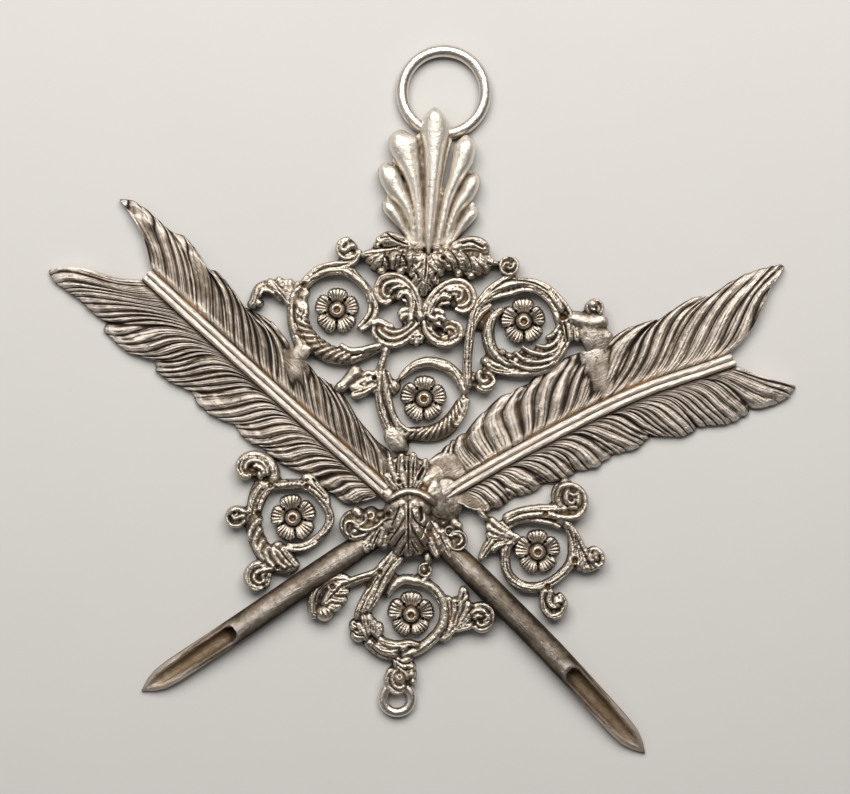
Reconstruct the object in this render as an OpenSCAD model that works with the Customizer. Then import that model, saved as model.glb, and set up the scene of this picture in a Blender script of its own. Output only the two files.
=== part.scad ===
// Collar jewel of cast and soldered silver: two crossed quill pens in an openwork of scrolls and rosettes

/* [Left quill] */
// Length from the crossing to the cut end of the rachis
left_feather_arm = 47.5; // [45:0.5:50]
// Length from the crossing to the point of the nib
left_nib_arm = 44.7; // [42:0.1:48]
// Slope of the quill against the horizontal
left_slope = 43.9; // [43:0.1:45]
// Greatest bow of the quill away from a straight line
left_bow = 1.6; // [1.2:0.1:2]
// Width of the upper vane, from the axis of the quill
left_upper_vane_w = 7.1; // [6.6:0.1:7.6]
// Width of the lower vane
left_lower_vane_w = 8.9; // [8:0.1:9.8]

/* [Right quill] */
// Length from the crossing to the cut end of the rachis
right_feather_arm = 47.5; // [45:0.5:50]
// Length from the crossing to the point of the nib
right_nib_arm = 43; // [40:0.1:46]
// Slope of the quill against the horizontal
right_slope = 29.2; // [28:0.1:31]
// Greatest bow of the quill away from a straight line
right_bow = 3.5; // [3:0.1:4]
// Width of the upper vane, from the axis of the quill
right_upper_vane_w = 9.4; // [8.6:0.1:10]
// Width of the lower vane
right_lower_vane_w = 8.9; // [8:0.1:9.8]

/* [Quill sections] */
// Width of the double rib of the rachis
rachis_w = 1.75; // [1.5:0.05:2]
// Height of the rachis
rachis_h = 2.6; // [2.3:0.1:3]
// Width of the barrel
barrel_w = 3.4; // [3:0.1:3.8]
// Height of the barrel
barrel_h = 3; // [2.6:0.1:3.4]
// Length of the slanted cut of each nib
scoop_length = 13.5; // [11:0.5:16]
// Depth of that cut
scoop_depth = 1.1; // [0.8:0.1:1.4]
// Height of the vanes
vane_h = 1.7; // [1.4:0.1:2]
// Depth of the grooves between the barbs
barb_relief = 0.4; // [0.2:0.05:0.6]
// Raised barbs on each vane
barbs = 17; // [13:1:24]

/* [Openwork] */
// Mean radius of the scroll rings
scroll_r = 5; // [4.8:0.05:5.2]
// Width of a plain stem
stem_w = 1.75; // [1.6:0.05:1.9]
// Width of an acanthus lobe
leaf_w = 2.4; // [2.1:0.05:2.7]
// Height of a plain stem
stem_h = 1.9; // [1.6:0.1:2.2]
// Height from the crossing to the collar, in radii of the scroll rings
rise_share = 6.9; // [6.8:0.02:7.04]
// Width of the acanthus collar
collar_w = 17; // [16:0.1:18]
// Radius of a rosette
rosette_r = 3.2; // [3:0.05:3.4]
// Height of a rosette
rosette_h = 2.4; // [2:0.1:2.8]
// Width of the leaf wrap over the crossing
wrap_w = 6.5; // [6.2:0.1:6.8]
// Length of the leaf wrap
wrap_length = 8.3; // [8:0.1:8.6]
// Height of the leaf wrap
wrap_h = 4.6; // [4.2:0.1:5]
// Height of the acanthus collar
collar_h = 3.4; // [3:0.1:3.8]

/* [Palmette and rings] */
// Length of the palmette, from its foot to the top of the middle rib
palmette_length = 19.4; // [18:0.1:21]
// Height of the middle rib
palmette_h = 3.6; // [3.2:0.1:4]
// Inner diameter of the suspension ring
ring_bore = 9.5; // [8.5:0.1:11]
// Wire diameter of the suspension ring
ring_wire = 1.6; // [1.3:0.05:1.9]
// Inner diameter of the lower loop
loop_bore = 2.5; // [2.2:0.1:3]
// Wire diameter of the lower loop
loop_wire = 1.3; // [1.1:0.05:1.5]

/* [Fit] */
// Gap left at each joint between two castings
joint_gap = 0.1; // [0.06:0.01:0.15]

/* [Hidden] */

// Facets of the small cast domes, and of the two wire rings
dome_facets = 6;
ring_facets = 96;
// Depth that a cutting shape reaches past a face
over = 1;

// Places in the openwork. The origin lies midway across the outline, the crossing a little below it
crossing = [-1.56, -15.33];
// The places keep to the size of the scrolls
collar_rise = rise_share * scroll_r;
function place(x, y) = crossing + collar_rise * [x, y];
upper_left = place(-0.286, 0.791);
upper_right = place(0.435, 0.746);
middle = place(0.05, 0.447);
lower_left = place(-0.456, -0.013);
lower_right = place(0.489, -0.144);
bottom = place(0, -0.386);
c_junction = place(0.043, 0.787);
collar = place(0.058, 1);
palmette_foot = place(0.071, 1.008);

// Small helpers for points and tables
function polar(angle, r) = r * [cos(angle), sin(angle)];
function unit(v) = v / norm(v);
function across(v) = [-v.y, v.x];
function column(rows, n) = [for (r = rows) [r[0], r[n]]];
function mix(a, b, t) = a + (b - a) * t;

// Quills. A bow table gives the share of the length and the share of the greatest bow
left_bow_rows = [[0, 0], [0.25, 0.4], [0.45, 0.8], [0.6, 1], [0.8, 0.8], [1, 0]];
right_bow_rows = [[0, 0], [0.12, 0.7], [0.22, 0.92], [0.37, 1], [0.5, 0.93], [0.65, 0.75], [0.82, 0.35],
    [1, 0]];
// A vane table runs from the crossing to the tip: place along the feather, share of the reach,
// share of the width
left_upper_rows = [[0, 0.35, 0.6], [0.1, 0.6, 0.69], [0.25, 1, 0.83], [0.4, 1, 0.92], [0.65, 1, 0.97],
    [0.75, 1, 1], [0.88, 1, 0.91], [1, 1, 0.66]];
left_lower_rows = [[0, 0.35, 0.56], [0.1, 0.6, 0.68], [0.25, 1, 0.8], [0.4, 1, 0.9], [0.65, 1, 1],
    [0.88, 1, 0.97], [1, 1, 0.99]];
right_upper_rows = [[0, 0, 0.42], [0.1, 0.35, 0.66], [0.3, 1, 0.82], [0.5, 1, 0.9], [0.7, 1, 1],
    [0.8, 1, 1], [0.9, 1, 0.94], [1, 1, 0.82]];
right_lower_rows = [[0, 0.6, 0.59], [0.25, 1, 0.72], [0.5, 1, 0.81], [0.75, 1, 0.98], [0.9, 1, 0.95],
    [1, 1, 0.8]];
// How far each vane's barbs lean toward the tip, as a share of the feather arm
left_reach = 0.21;
right_upper_reach = 0.26;
right_lower_reach = 0.12;
// Share of the feather arm that carries vanes
vaned = 0.9;
// Rounded tufts along the edge of a vane, and how deep the notches between them go
tufts = 6;
tuft_notch = 0.07;
// Steps along a barb, and where it bends as shares of its reach and its width
barb_steps = 3;
barb_bend = [0.35, 0.62];
// Height of the barbs from root to edge, as shares of the vane's height
barb_heights = [[0, 0.8], [0.35, 1], [0.75, 0.8], [1, 0.5]];
// Share of the groove's depth that is left at the rachis, and share of the barb by which it stops short
root_groove = 0.4;
groove_trim = 0.03;
// The double rib across the rachis, as shares of its width and height
rib_profile = [[-0.5, 0.75], [-0.26, 1], [0, 0.72], [0.26, 1], [0.5, 0.75]];

// A vane: width, reach, table
// A quill: heading, feather arm, nib arm, bow, bow table, side that bows out, upper vane, lower vane
left_quill = [-left_slope, left_feather_arm, left_nib_arm, left_bow, left_bow_rows, 1,
    [left_upper_vane_w, left_reach * left_feather_arm, left_upper_rows],
    [left_lower_vane_w, left_reach * left_feather_arm, left_lower_rows]];
right_quill = [180 + right_slope, right_feather_arm, right_nib_arm, right_bow, right_bow_rows, -1,
    [right_upper_vane_w, right_upper_reach * right_feather_arm, right_upper_rows],
    [right_lower_vane_w, right_lower_reach * right_feather_arm, right_lower_rows]];

function quill_dir(q) = polar(q[0], 1);
function quill_up(q) = q[5] * across(quill_dir(q));
function bow_at(q, s) = q[3] * (lookup(s - 0.05, q[4]) + 2 * lookup(s, q[4]) + lookup(s + 0.05, q[4])) / 4;
// Point of the axis at a distance from the crossing, negative toward the feather
function axis_at(q, d) = let (s = (d + q[1]) / (q[1] + q[2]), s0 = q[1] / (q[1] + q[2]))
    crossing + d * quill_dir(q) + (bow_at(q, s) - bow_at(q, s0)) * quill_up(q);
function beside(q, d, off) = axis_at(q, d) + off * quill_up(q);
function raised(p, z) = [p.x, p.y, z];

function scallop(t) = 1 - tuft_notch * (1 - abs(sin(180 * tufts * t)));
function root_at(q, t) = -q[1] * (1 - vaned * (1 - t));
// Point of a barb on one side of the quill: t runs from the crossing to the tip and b from root to edge
function barb_point(q, side, t, b, trim) = let (
    vane = side > 0 ? q[6] : q[7],
    root = [root_at(q, t), rachis_w / 2],
    reach = vane[1] * lookup(t, column(vane[2], 1)),
    wide = vane[0] * lookup(t, column(vane[2], 2)) * scallop(t) * (1 - trim) - root.y,
    bend = root + [-barb_bend.x * reach, barb_bend.y * wide],
    tip = root + [-reach, wide],
    p = mix(mix(root, bend, b), mix(bend, tip, b), b))
    beside(q, p.x, side * p.y);

// The barrel: share of the nib arm, width share, height share, share of the slanted cut
cut_start = 0.96;
function barrel_rows(q) = let (cut = cut_start - scoop_length / q[2])
    [[0, 0.74, 0.85, 0], [0.12, 0.88, 0.95, 0], [0.25, 1, 1, 0], [cut, 1, 1, 0], [cut + 0.03, 1, 1, 0.7],
    [mix(cut, 1, 0.4), 1, 1, 1], [0.9, 0.98, 0.95, 1], [0.95, 0.74, 0.8, 0.5], [1, 0.06, 0.42, 0]];
// Shares of the nib arm at which the barrel has a section, beyond the cut and before it
cut_stops = [1, 0.95, 0.9, 0.8, 0.72];
plain_stops = [0.5, 0.25, 0.12];
// Round of the barrel: angle at which each side starts, how full it is, thinnest wall over the foot
side_angle = 8;
round_power = 0.8;
thin_wall = 0.1;
// Each quill gives half its height to the other along this much of its axis
cross_angle = 180 - left_slope - right_slope;
lap = barrel_w / 2 * (1 + abs(cos(cross_angle))) / sin(cross_angle) + joint_gap;
lap_step = 0.05;

// A quill is lofted through columns. The barrel's columns cross it, the feather's follow the barbs.
// A column holds its upper points from one edge to the other, then three points of its foot
span = 2 * (barb_steps + 1) + len(rib_profile);
function barrel_column(q, d, under) = let (
    rows = barrel_rows(q),
    s = max(d, 0) / q[2],
    lapped = abs(d) < lap,
    w = barrel_w / 2 * lookup(s, column(rows, 1)),
    h = barrel_h * lookup(s, column(rows, 2)),
    cut = scoop_depth * lookup(s, column(rows, 3)),
    top_limit = lapped && !under ? (barrel_h - joint_gap) / 2 : barrel_h,
    low = lapped && under ? (barrel_h + joint_gap) / 2 : 0,
    middle_j = (span - 1) / 2)
    [[for (j = [0:span - 1]) let (
        angle = mix(180 - side_angle, side_angle, j / (span - 1)),
        z = min(h * pow(sin(angle), round_power), top_limit) - (abs(j - middle_j) < 2 ? cut : 0))
        raised(beside(q, d, w * cos(angle)), max(z, low + thin_wall))],
    [for (k = [-1:1]) raised(beside(q, d, w * k), low)]];
// Even columns run along a barb and odd ones along the groove beside it
function feather_column(q, i) = let (
    t = i / (2 * barbs),
    groove = i % 2,
    trim = groove_trim * groove,
    heights = [for (j = [0:barb_steps]) vane_h * lookup(j / barb_steps, barb_heights)
        - barb_relief * groove * (j == 0 ? root_groove : 1)])
    [concat(
        [for (j = [barb_steps:-1:0]) raised(barb_point(q, -1, t, j / barb_steps, trim), heights[j])],
        [for (c = rib_profile) raised(beside(q, root_at(q, t), c.x * rachis_w), c.y * rachis_h)],
        [for (j = [0:barb_steps]) raised(barb_point(q, 1, t, j / barb_steps, trim), heights[j])]),
    [for (k = [-1:1]) raised(k == 0 ? axis_at(q, root_at(q, t)) : barb_point(q, k, t, 1, trim), 0)]];
function quill_columns(q, under) = concat(
    [for (s = cut_stops) barrel_column(q, q[2] * s, under)],
    [for (r = [4, 3]) barrel_column(q, q[2] * barrel_rows(q)[r][0], under)],
    [for (s = plain_stops) barrel_column(q, q[2] * s, under)],
    [for (d = [lap, lap - lap_step, -lap + lap_step, -lap]) barrel_column(q, d, under)],
    [for (i = [0:2 * barbs]) feather_column(q, i)]);

module quill(q, under) {
    columns = quill_columns(q, under);
    k = span + 3;
    last = len(columns) - 1;
    points = [for (c = columns) each concat(c[0], c[1])];
    // Loop round a column: over the top, then back along the foot
    ring = concat([for (j = [0:span - 1]) j], [for (j = [k - 1:-1:span]) j]);
    skin = [for (i = [0:last - 1]) for (j = [0:k - 1])
        let (a = i * k + ring[j], b = i * k + ring[(j + 1) % k]) each [[a, b, b + k], [a, b + k, a + k]]];
    // Each end is closed between its upper points and its foot points
    function cap(base) = concat(
        [for (j = [0:span - 2]) [base + j, base + j + 1, base + span + 1]],
        [[base, base + span + 1, base + span], [base + span - 1, base + span + 2, base + span + 1]]);
    start = [for (f = cap(0)) [f[0], f[2], f[1]]];
    end = cap(last * k);
    faces = concat(skin, start, end);
    color("silver")
        polyhedron(points, q[5] < 0 ? faces : [for (f = faces) [f[0], f[2], f[1]]]);
}

function quill_outline(q) = let (columns = quill_columns(q, false), last = len(columns) - 1) [
    for (c = columns) [c[1][0].x, c[1][0].y],
    [columns[last][1][1].x, columns[last][1][1].y],
    for (i = [last:-1:0]) [columns[i][1][2].x, columns[i][1][2].y]];
shaft_steps = 12;
function shaft_half(d) = (d < -lap ? rachis_w : barrel_w) / 2;
function shaft_outline(q) = let (stops = [for (i = [0:shaft_steps]) mix(q[2], -q[1], i / shaft_steps)]) [
    for (d = stops) beside(q, d, -shaft_half(d)),
    for (i = [shaft_steps:-1:0]) beside(q, stops[i], shaft_half(stops[i]))];

// Room that both quills take from the castings beside and above them
module quills_room(vane_top) {
    translate([0, 0, -over])
        for (q = [left_quill, right_quill]) {
            linear_extrude(barrel_h + joint_gap + over)
                offset(delta = joint_gap)
                    polygon(shaft_outline(q));
            linear_extrude(vane_top + over)
                offset(delta = joint_gap)
                    polygon(quill_outline(q));
        }
}
low_vanes = vane_h + joint_gap;
full_height = wrap_h + over;

// Sweep of a rounded bar along a plan route. A row of the route is [point, width, height]
bar_profile = [[-0.5, 0], [-0.3, 1], [0.3, 1], [0.5, 0]];
function route_dir(route, i) = let (last = len(route) - 1)
    unit(route[min(i + 1, last)][0] - route[max(i - 1, 0)][0]);
module bar(route) {
    k = len(bar_profile);
    points = [for (i = [0:len(route) - 1]) let (n = across(route_dir(route, i)), r = route[i])
        for (c = bar_profile) raised(r[0] - c.x * r[1] * n, c.y * r[2])];
    sides = [for (i = [0:len(route) - 2]) for (j = [0:k - 1])
        let (a = i * k + j, b = i * k + (j + 1) % k) each [[a, b + k, b], [a, a + k, b + k]]];
    last = (len(route) - 1) * k;
    caps = [[for (j = [0:k - 1]) j], [for (j = [k - 1:-1:0]) last + j]];
    polyhedron(points, concat(sides, caps));
}

// Castings. A stem is a table of [angle, share of the radius, width share, height share] about a centre
function stem(centre, rows) = [for (r = rows) [centre + polar(r[0], r[1] * scroll_r),
    r[2] * stem_w, r[3] * stem_h]];
function tie(a, b, wide) = [[a, wide * stem_w, 0.85 * stem_h], [mix(a, b, 0.5),
    wide * stem_w * 0.9, 0.8 * stem_h],
    [b, wide * stem_w, 0.8 * stem_h]];
// A curl winds in from its outer turn: centre, radius, turn direction, start angle and height
function curl(centre, angle, share, r, turn, start) = [centre + polar(angle, share * scroll_r),
    r * scroll_r, turn, start, stem_h];
curl_steps = 6;
curl_sweep = 300;
function curl_route(c) = [for (i = [0:curl_steps]) let (t = i / curl_steps)
    [c[0] + polar(c[3] + c[2] * curl_sweep * t, c[1] * mix(0.7, 0.52, t)), c[1] * mix(0.6, 0.42, t),
        c[4] * mix(1, 1.1, t)]];

module dome(p, r, h) {
    translate(p)
        cylinder(h = h, r1 = r, r2 = r * 0.55, $fn = dome_facets);
}

// A leaf lobe or bud lies between two places: from, to, radius there and there, height
module lobe(l) {
    hull() {
        dome(l[0], l[2], l[4]);
        dome(l[1], l[3], l[4] * 0.85);
    }
}
// Lobes from a table of [angle, share, angle, share, radius share, radius share,
// height share] about a centre
function lobes(centre, rows) = [for (r = rows) [centre + polar(r[0], r[1] * scroll_r),
    centre + polar(r[2], r[3] * scroll_r), r[4] * leaf_w, r[5] * leaf_w, r[6] * stem_h]];
// The same from offsets: [x, y, x, y, radius, radius] as shares of a width, then the height
function offset_lobes(centre, wide, h, rows) = [for (r = rows) [centre + wide * [r[0], r[1]],
    centre + wide * [r[2], r[3]], wide * r[4], wide * r[5], h * r[6]]];

module casting(stems, curls, lobes) {
    for (s = stems)
        bar(s);
    for (c = curls) {
        bar(curl_route(c));
        dome(c[0], c[1] * 0.4, c[4] * 1.3);
    }
    for (l = lobes)
        lobe(l);
}

module casting_plan(stems, curls, lobes) {
    for (s = stems)
        polygon(concat([for (i = [0:len(s) - 1]) s[i][0] + s[i][1] / 2 * across(route_dir(s, i))],
            [for (i = [len(s) - 1:-1:0]) s[i][0] - s[i][1] / 2 * across(route_dir(s, i))]));
    for (c = curls)
        translate(c[0])
            circle(r = c[1] * 1.03, $fn = 14);
    for (l = lobes)
        hull() {
            translate(l[0])
                circle(r = l[2], $fn = dome_facets);
            translate(l[1])
                circle(r = l[3], $fn = dome_facets);
        }
}

// A tall cut in the plan of a neighbour, with the joint gap round it
module room() {
    translate([0, 0, -over])
        linear_extrude(full_height + over)
            offset(delta = joint_gap)
                children();
}
module rosette_room(centre) {
    room()
        translate(centre)
            circle(r = rosette_r, $fn = 40);
}

// Leaf wrap. Its centre lies a little below the crossing
wrap_centre = crossing + [0.3 * wrap_w - 2.3, -0.21 * wrap_length];
wrap_body = [[-0.36, 0.36], [0.36, 0.36], [0.4, -0.1], [0.3, -0.34], [0, -0.4], [-0.3, -0.34],
    [-0.4, -0.1]];
wrap_stems = [
    [for (r = [[-0.3, 0.52], [-0.12, 0.6], [0.08, 0.6], [0.28, 0.53], [0.44, 0.44]])
        [wrap_centre + [r[0] * wrap_w, r[1] * wrap_length], 0.5 * stem_w, wrap_h * 0.95]],
    [for (r = [[-0.3, -0.1, 0.95], [-0.7, -0.18, 0.88], [-1.08, -0.02, 0.8]])
        [wrap_centre + [r[0] * wrap_w, r[1] * wrap_length], 0.9 * stem_w, wrap_h * r[2]]],
    [for (r = [[0.3, -0.02, 0.95], [0.7, -0.06, 0.88], [1, -0.08, 0.8]])
        [wrap_centre + [r[0] * wrap_w, r[1] * wrap_length], 0.9 * stem_w, wrap_h * r[2]]]];
wrap_curls = [[wrap_centre + [-1.1 * wrap_w, 0.05 * wrap_length], 0.31 * wrap_w, -1, -60, wrap_h * 0.6],
    [wrap_centre + [1.08 * wrap_w, -0.12 * wrap_length], 0.26 * wrap_w, 1, -120, wrap_h * 0.6]];
wrap_lobes = offset_lobes(wrap_centre, wrap_w, wrap_h, [
    [0, 0.5, 0, -0.55, 0.05, 0.05, 1], [0, -0.2, -0.42, -0.4, 0.16, 0.08, 0.78],
    [0, -0.2, -0.24, -0.56, 0.16, 0.09, 0.78], [0, -0.2, 0, -0.62, 0.16, 0.09, 0.8],
    [0, -0.2, 0.24, -0.58, 0.16, 0.09, 0.78], [0, -0.2, 0.42, -0.44, 0.16, 0.08, 0.78],
    [0.02, 0.6, -0.36, 1.28, 0.18, 0.1, 0.72], [0.02, 0.6, -0.16, 1.42, 0.16, 0.09, 0.76],
    [0.02, 0.6, 0.06, 1.46, 0.14, 0.08, 0.8], [0.02, 0.6, 0.26, 1.4, 0.16, 0.09, 0.76],
    [0.02, 0.6, 0.42, 1.2, 0.18, 0.1, 0.72], [0.28, 0.1, 0.6, 0.2, 0.22, 0.24, 0.88],
    [0.6, 0.2, 0.95, 0.44, 0.28, 0.34, 0.64]]);

module wrap_body() {
    hull()
        for (r = wrap_body)
            dome(wrap_centre + [r[0] * wrap_w, r[1] * wrap_length], 0.14 * wrap_w, wrap_h * 0.92);
}
module wrap_plan() {
    casting_plan(wrap_stems, wrap_curls, wrap_lobes);
    hull()
        for (r = wrap_body)
            translate(wrap_centre + [r[0] * wrap_w, r[1] * wrap_length])
                circle(r = 0.14 * wrap_w, $fn = dome_facets);
}

module leaf_wrap() {
    color("silver")
        difference() {
            union() {
                casting(wrap_stems, wrap_curls, wrap_lobes);
                wrap_body();
            }
            quills_room(low_vanes);
        }
}

// Acanthus collar
collar_lobes = offset_lobes(collar, collar_w, collar_h, [
    [-0.05, -0.01, -0.4, -0.05, 0.11, 0.07, 1], [-0.12, 0.05, -0.35, 0.085, 0.085, 0.05, 0.9],
    [-0.2, -0.05, -0.28, -0.1, 0.065, 0.035, 0.85], [0.05, -0.01, 0.42, -0.08, 0.11, 0.065, 1],
    [0.12, 0.05, 0.42, 0.055, 0.085, 0.05, 0.9], [0.34, -0.09, 0.4, -0.18, 0.06, 0.04, 0.85],
    [-0.01, -0.05, -0.02, -0.29, 0.12, 0.045, 1], [-0.1, -0.06, -0.15, -0.13, 0.075, 0.035, 0.9],
    [0.08, -0.06, 0.15, -0.13, 0.075, 0.035, 0.9], [-0.07, 0.02, 0.07, 0.02, 0.11, 0.11, 1]]);

module acanthus_collar() {
    color("silver")
        casting([], [], collar_lobes);
}

// Palmette ribs: angle, reach as a share of the length, radius of the head as a share of it, height share
palmette_rows = [[88, 1, 0.11, 1], [102.5, 0.885, 0.105, 0.92], [117, 0.73, 0.098, 0.85],
    [134, 0.52, 0.085, 0.78],
    [73.5, 0.865, 0.105, 0.92], [59, 0.67, 0.098, 0.85], [42, 0.49, 0.085, 0.78]];

module palmette_bud(p, r, h) {
    translate(p)
        rotate_extrude($fn = 8)
            polygon([[0, 0], [r, 0], [0.9 * r, 0.55 * h], [0.45 * r, h], [0, h]]);
}
module palmette_rib(r) {
    reach = r[1] * palmette_length;
    head = r[2] * palmette_length;
    hull() {
        palmette_bud(palmette_foot + polar(r[0], 0.08 * reach), 0.3 * head, palmette_h * r[3] * 0.55);
        palmette_bud(palmette_foot + polar(r[0], reach - head), head, palmette_h * r[3]);
    }
}

// The suspension ring passes behind the upper ribs, in a groove that is open at the back
ring_overlap = 4.1;
ring_r = (ring_bore + ring_wire) / 2;
ring_centre = palmette_foot + polar(85, palmette_length - ring_overlap + ring_r + ring_wire / 2);
module wire_groove(centre, r, wire) {
    translate(centre)
        rotate_extrude($fn = ring_facets)
            translate([r, 0]) {
                translate([0, wire / 2])
                    circle(d = wire + 2 * joint_gap, $fn = 14);
                translate([-wire / 2 - joint_gap, -over])
                    square([wire + 2 * joint_gap, wire / 2 + over]);
            }
}
module wire_ring(centre, r, wire) {
    translate([centre.x, centre.y, wire / 2])
        rotate_extrude($fn = ring_facets)
            translate([r, 0])
                circle(d = wire, $fn = 48);
}

module palmette() {
    color("gainsboro")
        difference() {
            for (r = palmette_rows)
                palmette_rib(r);
            wire_groove(ring_centre, ring_r, ring_wire);
            room()
                casting_plan([], [], collar_lobes);
        }
}
module suspension_ring() {
    color("silver")
        wire_ring(ring_centre, ring_r, ring_wire);
}

// Fleur of four C-scrolls under the collar
c_stems = [stem(c_junction, [[-90, 0.1, 1, 1], [112, 0.5, 0.8, 1], [116, 0.9, 0.75, 1],
    [130, 1.2, 0.7, 1], [142, 1.34, 0.6, 1]]),
    stem(c_junction, [[-90, 0.1, 1, 1], [60, 0.5, 0.8, 1], [50, 0.9, 0.75, 1], [42, 1.2, 0.7, 1],
        [32, 1.38, 0.6, 1]]),
    stem(c_junction, [[90, 0.1, 1, 1], [-110, 0.4, 0.7, 1], [-124, 0.73, 0.7, 1], [-135, 1.1, 0.65, 1],
        [-148, 1.32, 0.55, 1]]),
    stem(c_junction, [[90, 0.1, 1, 1], [-72, 0.4, 0.7, 1], [-68, 0.75, 0.7, 1], [-55, 1.08, 0.65, 1],
        [-43, 1.15, 0.55, 1]])];
c_curls = [curl(c_junction, 151, 1.09, 0.42, 1, 60), curl(c_junction, 18, 1.07, 0.42, -1, 100),
    curl(c_junction, 207, 1.17, 0.31, -1, -60), curl(c_junction, -39, 0.93, 0.31, 1, -110)];
c_lobes = lobes(c_junction, [[166, 0.2, 194, 0.5, 0.3, 0.4, 1.1], [14, 0.2, -24, 0.5, 0.3, 0.4, 1.1],
    [-101, 0.45, -116, 0.9, 0.35, 0.25, 1], [-101, 0.45, -100, 0.98, 0.35, 0.28, 1.05],
        [-95, 0.45, -84, 0.9, 0.35, 0.25, 1],
    [90, 0, 90, 0.5, 0.45, 0.35, 1.2], [125, 1, 128, 1.42, 0.3, 0.2, 0.9], [48, 1, 44, 1.42, 0.3, 0.2, 0.9],
    [-125, 0.8, -118, 1.12, 0.3, 0.2, 0.9], [-66, 0.8, -70, 1.1, 0.3, 0.2, 0.9]]);

module c_scrolls() {
    color("silver")
        difference() {
            casting(c_stems, c_curls, c_lobes);
            room()
                casting_plan([], [], collar_lobes);
        }
}

// Upper left scroll
ul_stems = [stem(upper_left, [[-36, 1.6, 0.7, 0.9], [-60, 1.34, 0.9, 0.95], [-82, 1.4, 1.2, 1],
    [-104, 1.3, 1.4, 1],
        [-129, 1.23, 1.4, 1], [-154, 1.16, 1.3, 1], [-180, 1.08, 1.1, 1], [-205, 1.06, 1, 1],
            [-232, 1.05, 0.8, 1],
        [-252, 1.04, 0.75, 1], [-270, 1.04, 0.75, 0.95], [-297, 1.06, 0.75, 0.9], [-331, 1.03, 0.75, 0.9],
        [-360, 1, 0.8, 0.9], [-382, 0.92, 0.8, 0.85], [-403, 0.74, 0.7, 0.8]]),
    stem(upper_left, [[150, 1.1, 0.6, 0.9], [128, 1.14, 0.6, 0.9], [106, 1.14, 0.6, 0.9],
        [86, 1.2, 0.6, 0.9],
        [74, 1.32, 0.6, 0.9], [66, 1.5, 0.55, 0.9], [62, 1.72, 0.5, 0.9]]),
    stem(upper_left, [[148, 1.2, 0.8, 1], [157, 1.5, 0.75, 1], [168, 1.8, 0.7, 0.95],
        [178, 2.05, 0.7, 0.9]]),
    tie(upper_left + polar(178, 2 * scroll_r),
        beside(left_quill, -0.72 * left_feather_arm, 0.7 * left_upper_vane_w), 0.7),
    tie(upper_left + polar(-129, 1.3 * scroll_r),
        beside(left_quill, -0.555 * left_feather_arm, 0.7 * left_upper_vane_w), 0.9)];
ul_curls = [curl(upper_left, 81, 1.6, 0.31, 1, -60)];
ul_lobes = lobes(upper_left, [[143, 1.2, 157, 2, 0.55, 0.45, 1], [148, 1.15, 163, 1.6, 0.45, 0.35, 0.95],
    [146, 1.5, 152, 2.05, 0.35, 0.25, 1.05], [-170, 1.2, -158, 1.42, 0.4, 0.25, 1],
        [-146, 1.3, -136, 1.47, 0.4, 0.25, 1],
    [-118, 1.35, -108, 1.55, 0.4, 0.28, 1.05], [-96, 1.42, -84, 1.62, 0.4, 0.25, 1],
        [-105, 1.2, -92, 1.12, 0.4, 0.25, 1.1],
    [-140, 1.1, -126, 1, 0.4, 0.25, 1.1]]);

module upper_left_plan() {
    casting_plan(ul_stems, ul_curls, ul_lobes);
}
module scroll_upper_left() {
    color("silver")
        difference() {
            casting(ul_stems, ul_curls, ul_lobes);
            quills_room(full_height);
            rosette_room(upper_left);
            room() {
                casting_plan([], [], collar_lobes);
                casting_plan(c_stems, c_curls, c_lobes);
            }
        }
}

// Upper right scroll
ur_stems = [stem(upper_right, [[-130, 2.3, 0.75, 1], [-137, 2.05, 0.75, 1], [-146, 1.82, 0.75, 1],
    [-157, 1.6, 0.75, 1],
        [-169, 1.46, 0.75, 1], [-186, 1.36, 0.75, 1], [-202, 1.28, 0.75, 1], [-218, 1.2, 0.75, 1],
            [-234, 1.14, 0.75, 1],
        [-250, 1.08, 0.8, 1], [-266, 1.06, 0.8, 1], [-285, 1.06, 0.8, 1], [-305, 1.06, 0.8, 1],
            [-333, 1.06, 0.9, 1],
        [-355, 1.08, 1.1, 1], [-375, 1.12, 1.3, 1], [-393, 1.2, 1.4, 1], [-411, 1.26, 1.4, 1],
            [-425, 1.3, 1.2, 1],
        [-437, 1.32, 1, 0.95], [-463, 1.38, 0.8, 0.9], [-478, 1.55, 0.6, 0.9]]),
    stem(upper_right, [[-80, 1.28, 0.7, 0.9], [-103, 1.3, 0.8, 0.9], [-124, 1.2, 0.8, 0.95],
        [-144, 1.1, 0.8, 0.95],
        [-164, 0.98, 0.8, 0.9], [-182, 0.84, 0.7, 0.85], [-198, 0.72, 0.6, 0.8]]),
    stem(upper_right, [[104, 1.05, 0.6, 0.9], [106, 1.3, 0.6, 0.9], [112, 1.5, 0.5, 0.9]]),
    stem(upper_right, [[-6, 1.1, 1.2, 1], [-8, 1.45, 1.1, 1], [-8, 1.8, 1, 1], [-2, 1.96, 0.8, 1],
        [7, 2, 0.6, 1]]),
    tie(upper_right + polar(-9, 1.7 * scroll_r),
        beside(right_quill, -0.69 * right_feather_arm, 0.75 * right_upper_vane_w), 0.9)];
ur_curls = [curl(upper_right, 106, 1.54, 0.29, 1, -90), curl(upper_right, 12, 1.92, 0.27, 1, -60),
    curl(upper_right, -122, 1.88, 0.27, 1, 60)];
ur_lobes = lobes(upper_right, [[5, 1.1, -2, 1.5, 0.5, 0.4, 1.1], [-20, 1.25, -21, 1.62, 0.45, 0.3, 1],
    [-30, 1.1, -22, 0.95, 0.4, 0.25, 1.1], [-52, 1.15, -42, 1, 0.4, 0.25, 1.1],
        [-74, 1.2, -62, 1.04, 0.4, 0.25, 1.1],
    [-60, 1.35, -50, 1.5, 0.4, 0.28, 1], [-90, 1.3, -80, 1.12, 0.35, 0.22, 1],
        [-134, 1.3, -137, 1.55, 0.4, 0.35, 1.1],
    [-120, 1.5, -124, 1.7, 0.35, 0.35, 1]]);

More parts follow.
